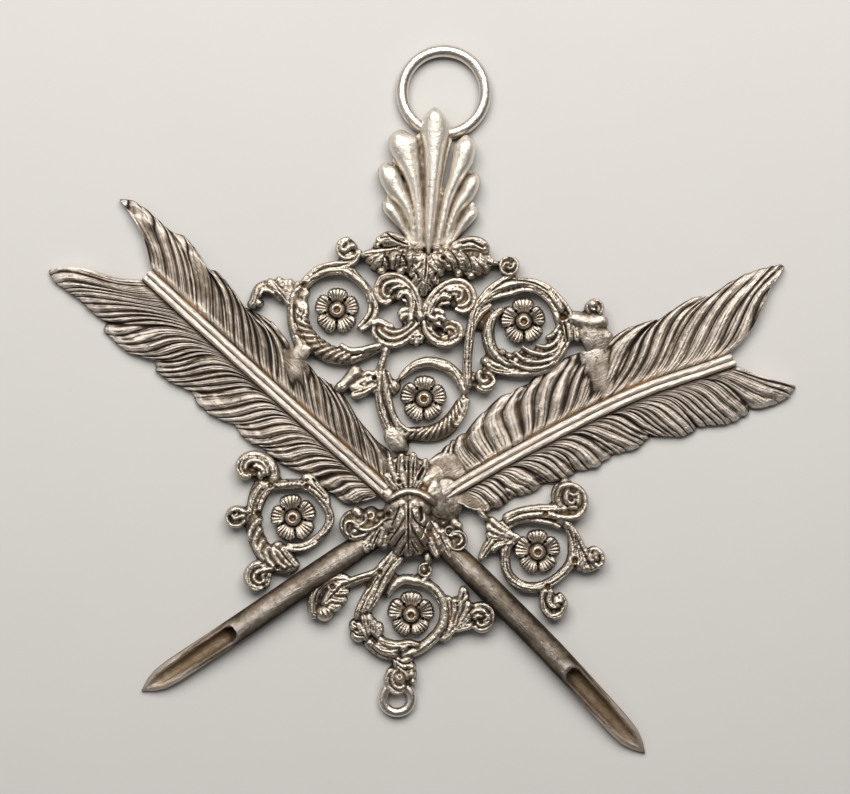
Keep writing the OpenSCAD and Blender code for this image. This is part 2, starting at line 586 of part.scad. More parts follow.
module upper_right_plan() {
    casting_plan(ur_stems, ur_curls, ur_lobes);
}
module scroll_upper_right() {
    color("silver")
        difference() {
            casting(ur_stems, ur_curls, ur_lobes);
            quills_room(full_height);
            rosette_room(upper_right);
            room() {
                casting_plan([], [], collar_lobes);
                casting_plan(c_stems, c_curls, c_lobes);
            }
        }
}

// Middle scroll
mid_stems = [stem(middle, [[124, 1.85, 0.7, 0.95], [130, 1.66, 0.7, 1], [147, 1.41, 0.8, 1],
    [157, 1.32, 0.85, 1],
        [166, 1.24, 0.9, 1], [180, 1.16, 0.8, 1], [192, 1.12, 0.75, 1], [207, 1.12, 0.75, 1],
            [221, 1.13, 0.8, 1],
        [232, 1.18, 0.9, 1], [240, 1.28, 1, 1], [247, 1.45, 1.1, 1], [252, 1.7, 1.1, 1]]),
    stem(middle, [[239, 1.26, 0.8, 1], [249, 1.02, 0.85, 1], [265, 0.96, 0.9, 1], [281, 0.96, 1, 1],
        [297, 0.98, 1, 1],
        [312, 1, 1.05, 1], [327, 1.03, 1, 1], [341, 1.06, 0.9, 1], [353, 1.1, 0.8, 1], [365, 1.12, 0.75, 1],
        [378, 1.12, 0.75, 0.95], [390, 1.1, 0.75, 0.95], [415, 1.06, 0.75, 0.95], [439, 1, 0.75, 0.9],
        [454, 0.95, 0.7, 0.9], [468, 0.88, 0.65, 0.85], [486, 0.76, 0.5, 0.8]]),
    stem(middle, [[2, 1.1, 0.7, 1], [8, 1.25, 0.9, 1], [16, 1.4, 0.8, 1]]),
    stem(middle, [[158, 1.25, 0.7, 0.9], [162, 1.5, 0.6, 0.9], [168, 1.9, 0.6, 0.9]]),
    tie(middle + polar(168, 1.8 * scroll_r),
        beside(left_quill, -0.394 * left_feather_arm, 0.6 * left_upper_vane_w), 0.6)];
mid_lobes = lobes(middle, [[166, 1.6, 159, 1.95, 0.35, 0.22, 1], [168, 1.5, 174, 1.78, 0.4, 0.35, 0.95],
    [158, 1.15, 160, 0.88, 0.35, 0.3, 1], [232, 1, 228, 0.84, 0.3, 0.2, 0.9],
        [300, 1.05, 308, 1.22, 0.3, 0.22, 1],
    [322, 1.08, 330, 1.22, 0.3, 0.22, 1], [345, 1.1, 338, 0.92, 0.3, 0.2, 1],
        [240, 1.35, 232, 1.55, 0.35, 0.3, 0.9],
    [0, 1.1, 6, 1.28, 0.4, 0.3, 1.05]]);

module scroll_middle() {
    color("silver")
        difference() {
            casting(mid_stems, [], mid_lobes);
            quills_room(full_height);
            rosette_room(middle);
            room() {
                wrap_plan();
                casting_plan(c_stems, c_curls, c_lobes);
                upper_left_plan();
                upper_right_plan();
            }
        }
}

// Lower left scroll
ll_stems = [stem(lower_left, [[118, 1.5, 0.7, 0.95], [123, 1.36, 0.8, 1], [133, 1.24, 0.9, 1],
    [144, 1.18, 0.9, 1],
        [162, 1.18, 1, 1], [183, 1.12, 0.9, 1], [207, 1.15, 1, 1], [220, 1.2, 1.1, 1], [234, 1.27, 1.1, 1],
        [249, 1.33, 1, 1], [268, 1.33, 0.8, 1], [280, 1.4, 0.8, 1]]),
    stem(lower_left, [[135, 1.16, 0.8, 1], [122, 0.98, 0.8, 1], [97, 0.9, 0.8, 1], [75, 0.95, 0.9, 1],
        [50, 1.04, 0.9, 1],
        [35, 1.06, 0.75, 0.95], [21, 1.05, 0.7, 0.9], [-3, 1.01, 0.75, 0.9], [-34, 0.96, 0.75, 0.9],
            [-48, 0.9, 0.7, 0.9],
        [-62, 0.85, 0.65, 0.85], [-94, 0.74, 0.5, 0.8]]),
    stem(lower_left, [[-90, 1.2, 0.6, 0.9], [-98, 1, 0.6, 0.9], [-106, 0.84, 0.5, 0.85]]),
    stem(lower_left, [[186, 1.1, 0.8, 1], [184, 1.35, 0.6, 1], [190, 1.5, 0.5, 1]]),
    stem(lower_left, [[236, 1.3, 0.8, 1], [232, 1.5, 0.7, 1], [228, 1.62, 0.5, 1]]),
    tie(lower_left + polar(50, 1.04 * scroll_r),
        beside(left_quill, -0.24 * left_feather_arm, -0.3 * left_lower_vane_w), 0.9),
    tie(lower_left + polar(277, 1.36 * scroll_r), axis_at(right_quill, 0.38 * right_nib_arm), 0.9)];
ll_curls = [curl(lower_left, 127, 1.72, 0.42, 1, -20), curl(lower_left, 180, 1.55, 0.27, -1, -60),
    curl(lower_left, 238, 1.8, 0.35, -1, 30)];
ll_lobes = lobes(lower_left, [[150, 1.2, 156, 1.4, 0.35, 0.2, 1], [170, 1.2, 176, 1.02, 0.35, 0.22, 1.05],
    [195, 1.1, 200, 1.3, 0.35, 0.22, 1], [214, 1.15, 212, 0.98, 0.35, 0.22, 1.05],
        [228, 1.3, 222, 1.48, 0.35, 0.25, 1],
    [245, 1.3, 256, 1.5, 0.35, 0.25, 1], [84, 0.95, 92, 1.08, 0.3, 0.2, 1],
        [58, 1, 52, 1.2, 0.45, 0.3, 1]]);

module scroll_lower_left() {
    color("silver")
        difference() {
            casting(ll_stems, ll_curls, ll_lobes);
            quills_room(full_height);
            rosette_room(lower_left);
            room()
                wrap_plan();
        }
}

// Lower right scroll
lr_stems = [stem(lower_right, [[148, 1.2, 0.8, 0.95], [129, 1.18, 0.8, 1], [114, 1.16, 0.8, 1],
    [93, 1.13, 0.8, 1],
        [78, 1.08, 0.8, 1], [66, 1.06, 0.8, 1], [55, 1.12, 0.8, 1], [46, 1.28, 0.8, 1],
            [47, 1.52, 0.8, 1]]),
    stem(lower_right, [[150, 0.98, 0.8, 1], [170, 0.9, 0.8, 1], [184, 0.9, 0.75, 1], [198, 0.94, 0.7, 1],
        [224, 0.98, 0.7, 1],
        [250, 0.98, 0.75, 1], [262, 0.96, 0.8, 1], [274, 0.94, 0.8, 1], [288, 0.94, 0.9, 1],
            [303, 0.95, 0.9, 1],
        [318, 0.98, 1, 1], [333, 1, 1, 1], [347, 0.97, 0.9, 1], [360, 0.9, 0.8, 1], [372, 0.9, 0.8, 1],
            [384, 0.94, 0.8, 1],
        [396, 1, 0.8, 1], [410, 1.1, 0.8, 1]]),
    stem(lower_right, [[-12, 1, 1, 1], [-13, 1.22, 0.8, 1], [-11, 1.46, 0.7, 1]]),
    stem(lower_right, [[-70, 0.95, 1, 1], [-66, 1.2, 0.8, 1], [-60, 1.4, 0.6, 1]]),
    tie(lower_right + polar(165, 1.25 * scroll_r),
        beside(right_quill, -0.25 * right_feather_arm, -0.3 * right_lower_vane_w), 1.2),
    tie(lower_right + polar(60, 1.95 * scroll_r),
        beside(right_quill, -0.405 * right_feather_arm, -0.4 * right_lower_vane_w), 0.7),
    tie(lower_right + polar(184, 1.3 * scroll_r), axis_at(left_quill, 0.26 * left_nib_arm), 0.7)];
lr_curls = [curl(lower_right, 57, 1.69, 0.37, 1, -90), curl(lower_right, -7, 1.52, 0.25, 1, -110),
    curl(lower_right, -72, 1.54, 0.36, -1, 80)];
lr_lobes = lobes(lower_right, [[152, 0.9, 148, 1.62, 0.4, 0.35, 1], [156, 0.95, 162, 1.5, 0.4, 0.4, 1],
    [162, 0.95, 176, 1.45, 0.4, 0.4, 1], [168, 0.95, 188, 1.5, 0.35, 0.25, 0.95],
        [-15, 1.05, -18, 1.25, 0.5, 0.35, 1.05],
    [-64, 1, -74, 1.2, 0.45, 0.35, 1.05], [-40, 1, -48, 1.15, 0.35, 0.25, 1],
        [60, 1.1, 66, 1.28, 0.35, 0.25, 1]]);

module scroll_lower_right() {
    color("silver")
        difference() {
            casting(lr_stems, lr_curls, lr_lobes);
            quills_room(full_height);
            rosette_room(lower_right);
            room()
                wrap_plan();
        }
}

// Bottom scroll
loop_r = (loop_bore + loop_wire) / 2;
foot_curl = bottom + polar(-99, 1.74 * scroll_r);
loop_centre = foot_curl + [-0.5, -0.6 * loop_bore - loop_wire / 2 - 0.5];
bo_stems = [stem(bottom, [[150, 0.7, 0.5, 0.85], [130, 0.85, 0.7, 0.9], [104, 0.96, 0.75, 1],
        [80, 0.96, 0.75, 1], [52, 0.93, 0.75, 1], [24, 0.92, 0.8, 1], [-2, 0.9, 0.8, 1],
            [-28, 0.88, 0.9, 1],
        [-50, 0.9, 0.9, 1], [-73, 1, 1, 1], [-92, 1.05, 1.1, 1], [-112, 1.06, 1.2, 1], [-131, 1.13, 1.2, 1],
        [-148, 1.22, 1.1, 1], [-163, 1.32, 0.9, 1], [-179, 1.42, 0.8, 1], [-192, 1.32, 0.9, 1],
            [-209, 1.27, 1, 1],
        [-226, 1.32, 1.1, 1], [-242, 1.48, 0.9, 1], [-258, 1.66, 0.8, 1], [-263, 1.9, 0.8, 1]]),
    stem(bottom, [[140, 1.32, 0.8, 1], [147, 1.55, 0.8, 1], [156, 1.84, 0.8, 1], [165, 2, 1, 1]]),
    stem(bottom, [[-43, 0.95, 1, 1], [-36, 1.2, 0.9, 1], [-26, 1.5, 0.7, 1], [-18, 1.72, 0.5, 1]]),
    stem(bottom, [[-92, 1, 1.1, 1], [-100, 1.3, 0.9, 1], [-103, 1.55, 0.8, 1]]),
    tie(bottom + polar(72, 1.3 * scroll_r), wrap_centre + [0.1 * wrap_w, -0.3 * wrap_length], 0.5)];
bo_curls = [[foot_curl, 0.36 * scroll_r, 1, -150, stem_h], curl(bottom, -4, 1.84, 0.36, 1, -120)];
bo_lobes = lobes(bottom, [[160, 1.85, 176, 2.3, 0.6, 0.5, 1.1], [158, 1.95, 164, 2.35, 0.5, 0.4, 1],
    [162, 1.9, 184, 2.15, 0.5, 0.4, 1], [-40, 1.05, -12, 1.15, 0.5, 0.4, 1],
        [-12, 1.1, 6, 1.62, 0.45, 0.3, 1],
    [-10, 1.1, 20, 1.75, 0.4, 0.3, 1], [-6, 1.05, 32, 1.5, 0.4, 0.3, 0.95],
        [-160, 1.3, -166, 1.55, 0.55, 0.55, 1.05],
    [-178, 1.35, -178, 1.08, 0.4, 0.35, 1], [74, 1.2, 68, 1.3, 0.35, 0.35, 1]]);

module scroll_bottom() {
    color("silver")
        difference() {
            casting(bo_stems, bo_curls, bo_lobes);
            quills_room(full_height);
            rosette_room(bottom);
            room()
                wrap_plan();
            wire_groove(loop_centre, loop_r, loop_wire);
        }
}
module lower_loop() {
    color("silver")
        wire_ring(loop_centre, loop_r, loop_wire);
}

// A rosette has five notched petals and a domed boss with a drilled pit
petals = 5;
// Rings of the surface from the boss to the rim: share of the radius, share of the height,
// how much the petals shape it
rosette_rows = [[0.12, 1, 0], [0.36, 0.52, 0], [1, 0.6, 1]];
// Round one petal: share of the radius, share of the height
petal_rows = [[0.68, 0.45], [0.98, 1], [0.92, 0.75], [0.98, 1]];
pit_depth = 0.5;
module rosette(centre, turn) {
    n = petals * len(petal_rows);
    rings = len(rosette_rows);
    top = [for (r = rosette_rows) for (i = [0:n - 1]) let (petal = petal_rows[i % len(petal_rows)],
        p = centre + polar(turn + 360 * i / n, rosette_r * r[0] * mix(1, petal[0], r[2])))
        [p.x, p.y, rosette_h * r[1] * mix(1, petal[1], r[2] > 0 ? 1 : 0)]];
    rim = (rings - 1) * n;
    foot = [for (i = [0:n - 1]) [top[rim + i].x, top[rim + i].y, 0]];
    pit = rings * n + n;
    faces = concat([for (k = [0:rings - 2]) for (i = [0:n - 1]) let (a = k * n + i, b = k * n + (i + 1) % n)
            each [[a, b, b + n], [a, b + n, a + n]]],
        [for (i = [0:n - 1]) let (a = rim + i, b = rim + (i + 1) % n) each [[a, b, b + n],
            [a, b + n, a + n]]],
        [for (i = [0:n - 1]) [pit, (i + 1) % n, i]],
        [for (i = [0:n - 1]) [pit + 1, rim + n + i, rim + n + (i + 1) % n]]);
    color("silver")
        polyhedron(concat(top, foot, [[centre.x, centre.y, rosette_h - pit_depth],
            [centre.x, centre.y, 0]]), faces);
}

quill(left_quill, false);  // quill_left
quill(right_quill, true);  // quill_right
leaf_wrap();
palmette();
acanthus_collar();
c_scrolls();
scroll_upper_left();
scroll_upper_right();
scroll_middle();
scroll_lower_left();
scroll_lower_right();
scroll_bottom();
rosette(upper_left, 58);  // rosette_upper_left
rosette(upper_right, 70);  // rosette_upper_right
rosette(middle, 62);  // rosette_middle
rosette(lower_left, 56);  // rosette_lower_left
rosette(lower_right, 52);  // rosette_lower_right
rosette(bottom, 60);  // rosette_bottom
suspension_ring();
lower_loop();
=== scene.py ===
import math

import bmesh
import bpy
import numpy as np
from mathutils import Matrix, Vector, noise
from mathutils.bvhtree import BVHTree


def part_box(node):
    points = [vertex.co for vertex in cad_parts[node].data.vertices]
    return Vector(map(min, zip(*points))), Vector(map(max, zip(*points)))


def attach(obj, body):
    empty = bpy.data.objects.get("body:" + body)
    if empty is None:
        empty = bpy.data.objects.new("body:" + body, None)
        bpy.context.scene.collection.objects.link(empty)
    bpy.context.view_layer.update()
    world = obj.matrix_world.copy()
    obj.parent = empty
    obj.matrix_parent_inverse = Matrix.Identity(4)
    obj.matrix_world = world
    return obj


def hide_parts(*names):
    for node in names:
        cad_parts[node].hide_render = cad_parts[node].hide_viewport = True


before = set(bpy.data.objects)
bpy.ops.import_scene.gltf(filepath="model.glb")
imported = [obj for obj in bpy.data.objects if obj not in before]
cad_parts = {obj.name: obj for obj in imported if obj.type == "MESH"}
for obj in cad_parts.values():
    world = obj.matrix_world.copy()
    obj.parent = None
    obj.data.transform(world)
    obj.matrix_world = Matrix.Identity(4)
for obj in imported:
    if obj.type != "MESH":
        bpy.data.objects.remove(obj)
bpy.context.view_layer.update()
print("frame loaded:", len(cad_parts), "nodes")

# Places below are on a grid laid over the jewel's front: 7.5 steps to a millimetre, y downwards.
# The grid is pinned to the middles of the two wire rings of the frame. Shapes are worked in millimetres.
gridPins = {"suspension_ring": (443.62, 92.0), "lower_loop": (397.14, 698.78)}
mm = 1000.0


def boxMiddle(node):
    low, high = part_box(node)
    return (low + high) / 2 * mm


def boxSize(node):
    low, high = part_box(node)
    return (high - low) * mm


pinMiddles = [boxMiddle(name).xy for name in gridPins]
pinPlaces = list(gridPins.values())
gridStep = (pinMiddles[0] - pinMiddles[1]).length / math.dist(*pinPlaces)


def plan(x, y):
    return np.array((pinMiddles[0].x + (x - pinPlaces[0][0]) * gridStep,
                     pinMiddles[0].y - (y - pinPlaces[0][1]) * gridStep))


def catmull(rows, step):  # a smooth route through the rows, with points about a step apart
    rows = np.asarray(rows, float)
    if len(rows) < 3:
        count = max(3, int(np.hypot(*(rows[1, :2] - rows[0, :2])) / step) + 1)
        share = np.linspace(0, 1, count)[:, None]
        return rows[0] * (1 - share) + rows[1] * share
    ends = np.vstack([2 * rows[0] - rows[1], rows, 2 * rows[-1] - rows[-2]])
    out = []
    for a, b, c, d in zip(ends, ends[1:], ends[2:], ends[3:]):
        count = max(1, int(round(np.hypot(*(c[:2] - b[:2])) / step)))
        s = (np.arange(count) / count)[:, None]
        out.append(0.5 * (2 * b + (c - a) * s + (2 * a - 5 * b + 4 * c - d) * s ** 2
                          + (3 * b - a - 3 * c + d) * s ** 3))
    out.append(rows[-1][None])
    return np.vstack(out)


def runOf(route):
    return np.concatenate([[0], np.cumsum(np.hypot(*np.diff(route[:, :2], axis=0).T))])


def headings(route):
    way = np.gradient(route[:, :2], axis=0)
    return way / np.maximum(np.hypot(way[:, 0], way[:, 1]), 1e-9)[:, None]


def addObject(name, data):
    made = bpy.data.objects.new(name, data)
    bpy.context.scene.collection.objects.link(made)
    return made


def meshFrom(bm, name):
    mesh = bpy.data.meshes.new(name)
    bm.to_mesh(mesh)
    bm.free()
    return mesh


def vertsOf(made):
    return [v for v in made["geom"] if isinstance(v, bmesh.types.BMVert)]


def edgesOf(made):
    return [e for e in made["geom"] if isinstance(e, bmesh.types.BMEdge)]


# Swept strands, balls and spirals of the castings


def take(target, bm):
    bmesh.ops.recalc_face_normals(bm, faces=bm.faces)
    part = meshFrom(bm, "part")
    target.from_mesh(part)
    bpy.data.meshes.remove(part)


def section(point, way, width, low, top):
    return Matrix(((-way[1] * width / 2, 0, way[0], point[0]), (way[0] * width / 2, 0, way[1], point[1]),
                   (0, (top - low) / 2, 0, (top + low) / 2), (0, 0, 0, 1)))


def lofted(places, sides):  # a bar through the sections, closed at both ends
    bm = bmesh.new()
    bmesh.ops.create_circle(bm, cap_ends=True, segments=sides, radius=1, matrix=places[0])
    edges = bm.edges[:]
    for before, place in zip(places, places[1:]):
        made = bmesh.ops.extrude_edge_only(bm, edges=edges)
        edges = edgesOf(made)
        bmesh.ops.transform(bm, matrix=place @ before.inverted(), verts=vertsOf(made))
    bmesh.ops.contextual_create(bm, geom=edges)
    return bm


# Rows are (x, y, width, low, top) in millimetres; an end is rounded over its share of half the width
def sweepRun(target, rows, ends, sides, step):
    rows = np.asarray(rows, float)
    route = catmull(rows, step)
    run = runOf(route)
    roundings = [max(ends[0] * route[0, 2] / 2, 0.02), max(ends[1] * route[-1, 2] / 2, 0.02)]
    near = np.array([0, 0.08, 0.3, 0.65])
    stations = np.unique(np.round(np.concatenate([roundings[0] * near, run, run[-1] - roundings[1] * near]), 4))
    stations = stations[(stations >= 0) & (stations <= run[-1])]
    route = np.column_stack([np.interp(stations, run, route[:, k]) for k in range(5)])
    share = np.ones(len(stations))
    for r, away in ((roundings[0], stations), (roundings[1], stations[-1] - stations)):
        inside = np.clip(1 - away / r, 0, 1)
        share *= np.sqrt(np.maximum(1 - inside ** 2, 0.02))
    places = []
    for p, w, s in zip(route, headings(route), share):
        middle, half = (p[4] + p[3]) / 2, (p[4] - p[3]) / 2 * s
        places.append(section(p, w, max(p[2] * s, 0.03), middle - half, middle + half))
    take(target, lofted(places, sides))


# Rows are (x, y, width, top); deep is the strand's thickness, and without it the strand reaches the back
def sweep(target, rows, deep=None, ends=(1, 1), step=0.3):
    if deep is not None:
        sweepRun(target, [(x, y, w, t - deep, t) for x, y, w, t in rows], ends, 10, step)
    elif max(row[2] / row[3] for row in rows) > 1.5:  # a flat mound
        sweepRun(target, [(x, y, w, -0.5 * t, t) for x, y, w, t in rows], ends, 14, step)
    else:  # a round tube on a narrower web
        sweepRun(target, [(x, y, w, t - min(1.1 * w, 1.4 * t), t) for x, y, w, t in rows], ends, 12, step)
        sweepRun(target, [(x, y, 0.86 * w, -0.9 * t, t - 0.32 * w) for x, y, w, t in rows], ends, 8, step * 1.5)


girth = 1.22  # strands are this much wider than their rows say, because fusing rounds them off


def carried(rows, top):  # from the grid to millimetres; a row may leave out its width and its top
    width, out = rows[0][2] * girth, []
    for row in rows:
        width = row[2] * girth if len(row) > 2 else width
        top = row[3] if len(row) > 3 else top
        out.append((*plan(row[0], row[1]), width * gridStep, top))
    return out


chased = []  # routes of the casting's broad strands, to be chased lengthwise


def tube(target, *rows, top=2.0, deep=None, ends=(1, 1)):
    places = carried(rows, top)
    if deep is None and min(row[2] for row in places[:-1]) > 0.75 and max(row[2] for row in places) < 2.3:
        chased.append(places)
    sweep(target, places, deep=deep, ends=ends)


# Winds from the first radius to the second; turn is in degrees, positive anticlockwise
def spiral(target, x, y, radii, start, turn, widths, tops, deep=None):
    middle = plan(x, y)
    count = max(6, int(abs(turn) / 24))
    rows = []
    for i in range(count + 1):
        s = i / count
        angle = math.radians(start + turn * s)
        r = (radii[0] + (radii[1] - radii[0]) * s) * gridStep
        rows.append((middle[0] + r * math.cos(angle), middle[1] + r * math.sin(angle),
                     (widths[0] + (widths[1] - widths[0]) * s) * gridStep, tops[0] + (tops[1] - tops[0]) * s))
    sweep(target, rows, deep=deep, step=0.25)


# Slanting crescents over a stem, like a twisted rope
def flutes(target, rows, count, width, lean, top, deep, flip):
    route = catmull([[*plan(x, y), wide * gridStep, top] for x, y, wide in rows], 0.1)
    way = headings(route)
    run = runOf(route)
    for k in range(count):
        at = run[-1] * ((k + 0.5) / count)
        bits = []
        for s in (-1, -0.55, 0, 0.55, 1):
            along = at + lean * gridStep * width * (s + 0.25 * s * s)
            here = [np.interp(along, run, route[:, c]) for c in range(4)]
            w = [np.interp(along, run, way[:, c]) for c in range(2)]
            off = flip * s * here[2] * 0.46
            bits.append((here[0] - w[1] * off, here[1] + w[0] * off,
                         width * gridStep * (0.55 if abs(s) == 1 else 1), here[3] - 0.5 * s * s))
        sweep(target, bits, deep=deep, step=0.25)


def modified(mesh, kind, **settings):  # the mesh as one modifier leaves it
    lump = addObject("lump", mesh)
    modifier = lump.modifiers.new("change", kind)
    for key, value in settings.items():
        setattr(modifier, key, value)
    out = bpy.data.meshes.new_from_object(lump.evaluated_get(bpy.context.evaluated_depsgraph_get()))
    bpy.data.objects.remove(lump)
    bpy.data.meshes.remove(mesh)
    return out


def fused(bm, voxel, passes):
    out = modified(meshFrom(bm, "fused"), "REMESH", mode="VOXEL", voxel_size=voxel)
    relax(out, passes)
    return out


def thinned(mesh, most):  # collapses edges until about this many triangles are left
    return modified(mesh, "DECIMATE", ratio=min(1, most / sum(len(p.vertices) - 2 for p in mesh.polygons)))


def relax(mesh, passes):
    bm = bmesh.new()
    bm.from_mesh(mesh)
    for _ in range(passes):
        bmesh.ops.smooth_vert(bm, verts=bm.verts, factor=0.5, use_axis_x=True, use_axis_y=True, use_axis_z=True)
    bm.to_mesh(mesh)
    bm.free()


def readCo(mesh):
    co = np.empty(len(mesh.vertices) * 3)
    mesh.vertices.foreach_get("co", co)
    return co.reshape(-1, 3)


def writeCo(mesh, co):
    mesh.vertices.foreach_set("co", co.ravel())
    mesh.update()


def readNormals(mesh):
    out = np.empty(len(mesh.vertices) * 3)
    mesh.vertex_normals.foreach_get("vector", out)
    return out.reshape(-1, 3)


def smoothStep(a, b, x):
    t = np.clip((x - a) / (b - a), 0, 1)
    return t * t * (3 - 2 * t)


def groove(co, facing, rows, width, depth, taper=0.35):  # a chased line, in grid steps wide, depth in mm
    line = catmull([[*plan(x, y), 0, 0] for x, y in rows], 0.15)[:, :2]
    grooveLine(co, facing, line, width * gridStep, depth, taper)


def grooveLine(co, facing, line, wide, depth, taper):
    near = np.all((co[:, :2] > line.min(0) - wide) & (co[:, :2] < line.max(0) + wide), axis=1)
    index = np.nonzero(near & (facing > 0.1))[0]
    if not len(index):
        return
    gap = np.hypot(co[index, None, 0] - line[None, :, 0], co[index, None, 1] - line[None, :, 1])
    nearest = gap.argmin(1)
    gap = gap.min(1) / wide
    share = nearest / max(len(line) - 1, 1)
    fade = np.clip(np.minimum(share, 1 - share) / taper, 0, 1) ** 0.5
    cut = np.where(gap < 1, (1 - gap ** 2) ** 2, 0) * depth * fade * np.clip(facing[index] * 2, 0, 1)
    co[index, 2] = np.maximum(co[index, 2] - cut, 0.3)


def eye(co, x, y, r, depth=0.55, rim=0.06):  # a drilled pit with a raised rim; returns where its floor is
    middle = plan(x, y)
    wide = r * gridStep
    away = np.hypot(co[:, 0] - middle[0], co[:, 1] - middle[1]) / wide
    raised = co[:, 2] > 0.5
    co[raised, 2] += rim * np.exp(-((away[raised] - 1.45) / 0.35) ** 2)
    co[:, 2] -= np.minimum(depth, np.maximum(co[:, 2] - 0.25, 0)) * smoothStep(1.1, 0.5, away) * raised
    return smoothStep(1.0, 0.5, away) * raised


def roughen(co, size, amount, seed):  # the back and its edge stay flat
    amounts = np.broadcast_to(amount, len(co))
    for i, p in enumerate(co):
        if p[2] > 0.3:
            co[i, 2] += amounts[i] * noise.noise((p[0] / size + seed, p[1] / size, p[2] / size))


def keep(mesh, name, values):
    mesh.attributes.new(name, "FLOAT", "POINT").data.foreach_set("value", values.astype(np.float32))


# Keeps how far each point stands out of its surroundings as the attribute relief, with painted shade on low steep
# walls and the given shade added, and its height as lift
def maskRelief(mesh, fine, broad, scales=(0.028, 0.1), shade=0, stain=None):
    before = readCo(mesh)
    normals = readNormals(mesh)
    soft = mesh.copy()
    relax(soft, fine)
    near = np.einsum("ij,ij->i", before - readCo(soft), normals)
    relax(soft, broad)
    far = np.einsum("ij,ij->i", before - readCo(soft), normals)
    bpy.data.meshes.remove(soft)
    value = 0.5 + 0.5 * np.tanh(0.6 * near / scales[0] + 0.6 * far / scales[1])
    # painted shade: low steep walls are darkened, standing in for dark surroundings reflected in the sides
    wall = smoothStep(0.75, 0.15, normals[:, 2]) * smoothStep(0.75, 0.35, before[:, 2] / before[:, 2].max())
    keep(mesh, "relief", value * (1 - 0.75 * wall) + shade)
    keep(mesh, "lift", np.clip(before[:, 2] / max(before[:, 2].max(), 1e-6), 0, 1))
    if stain is not None:
        keep(mesh, "stain", stain)


def dress(nodeName, mesh, finish):
    name = nodeName + ".silver"
    mesh.transform(Matrix.Scale(1 / mm, 4))
    mesh.shade_smooth()
    mesh.materials.clear()
    mesh.materials.append(finish)
    mesh.name = name
    piece = addObject(name, mesh)
    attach(piece, "root")
    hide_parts(nodeName)
    print("made", name, len(mesh.polygons), "faces")


# Finishes

# the deep colour fills hollows as patina and low steep walls as painted shade
silverLooks = {
    "cast": {"bright": (0.62, 0.555, 0.475), "dull": (0.205, 0.160, 0.118), "deep": (0.020, 0.0135, 0.009),
             "amber": (0.30, 0.165, 0.060), "amberShare": 0.42, "wear": -0.02, "roughness": 0.33, "grain": 0.9},
    "quill": {"bright": (0.73, 0.66, 0.595), "dull": (0.245, 0.198, 0.152), "deep": (0.026, 0.018, 0.012),
              "amber": (0.40, 0.235, 0.085), "amberShare": 0.14, "wear": 0.0, "roughness": 0.33, "grain": 0.8},
    "satin": {"bright": (0.90, 0.85, 0.775), "dull": (0.54, 0.47, 0.385), "deep": (0.12, 0.088, 0.058),
              "amber": (0.40, 0.26, 0.12), "amberShare": 0.1, "wear": 0.12, "roughness": 0.42, "grain": 0.7},
    "wire": {"bright": (0.80, 0.74, 0.67), "dull": (0.38, 0.31, 0.25), "deep": (0.08, 0.058, 0.04),
             "amber": (0.36, 0.22, 0.10), "amberShare": 0.1, "wear": 0.10, "roughness": 0.30, "grain": 0.4},
}


tarnishAndShadeLooks = {
    # noise fields: scale, detail and roughness
    "patches": (260, 4, 0.6), "blotches": (1300, 5, 0.65), "grain": (4400, 4, 0.65), "pits": (2600, 2, 0.5),
    # how far the fields and the height swing the shade
    "patchSwing": 0.45, "blotchSwing": 0.40, "liftMiddle": 0.6, "liftSwing": 0.30,
    # shades between which the silver goes from dull to bright and from dull to deep
    "bright": (0.36, 0.70), "deep": (0.40, 0.12), "amberPatches": (0.50, 0.62), "amberShades": (0.46, 0.24),
    "deepRough": 0.35, "dullRough": 0.14, "blotchRough": 0.22, "deepUnmetallic": 0.55,
    "pitLevels": (0.34, 0.27), "pitRise": -1.2, "blotchRise": 0.6, "bump": 0.75, "bumpDistance": 0.00014,
}
brushLooks = {"stretch": 14, "field": (6000, 4, 0.6), "rise": 1.5, "rough": 0.18}  # fine lines along the barbs
tarnishAndShadeInputs = {"Relief": "Float", "Lift": "Float", "Stain": "Float", "Bright": "Color", "Dull": "Color",
                 "Deep": "Color", "Amber": "Color", "Amber Share": "Float", "Wear": "Float", "Polish": "Float",
                 "Grain": "Float"}
tarnishAndShadeOutputs = {"Color": "Color", "Roughness": "Float", "Metallic": "Float", "Height": "Float"}
lookSockets = {"bright": "Bright", "dull": "Dull", "deep": "Deep", "amber": "Amber", "amberShare": "Amber Share",
               "wear": "Wear", "roughness": "Polish", "grain": "Grain"}


def feed(tree, value, socket):  # the value is a number, a vector, a colour or another node's output
    if isinstance(value, bpy.types.NodeSocket):
        tree.links.new(value, socket)
    else:
        socket.default_value = (*value, 1) if socket.type == "RGBA" else value


def addNode(tree, kind, inputs, **settings):
    made = tree.nodes.new(kind)
    for key, value in settings.items():
        setattr(made, key, value)
    for key, value in inputs.items():
        feed(tree, value, made.inputs[key])
    return made


def maths(tree, operation, a, b, clamp=False):
    return addNode(tree, "ShaderNodeMath", {0: a, 1: b}, operation=operation, use_clamp=clamp).outputs[0]


def added(tree, value, field, amount, clamp=False):  # the value plus a share of the field
    return maths(tree, "ADD", value, maths(tree, "MULTIPLY", field, amount), clamp)


def swung(tree, value, field, middle, amount, clamp=False):  # the value plus a share of the field's swing
    return added(tree, value, maths(tree, "SUBTRACT", field, middle), amount, clamp)


def ramp(tree, value, low, high):
    return addNode(tree, "ShaderNodeMapRange", {"Value": value, "From Min": low, "From Max": high},
                   interpolation_type="SMOOTHSTEP").outputs["Result"]


def blendColours(tree, share, a, b):  # a Mix node's colour sockets are in places 6, 7 and 2
    return addNode(tree, "ShaderNodeMix", {0: share, 6: a, 7: b}, data_type="RGBA").outputs[2]


def objectPlace(tree):
    return addNode(tree, "ShaderNodeTexCoord", {}).outputs["Object"]


def noiseField(tree, vector, scale, detail, roughness=0.55):
    return addNode(tree, "ShaderNodeTexNoise", {"Scale": scale, "Detail": detail, "Roughness": roughness,
                                                "Vector": vector}).outputs["Fac"]
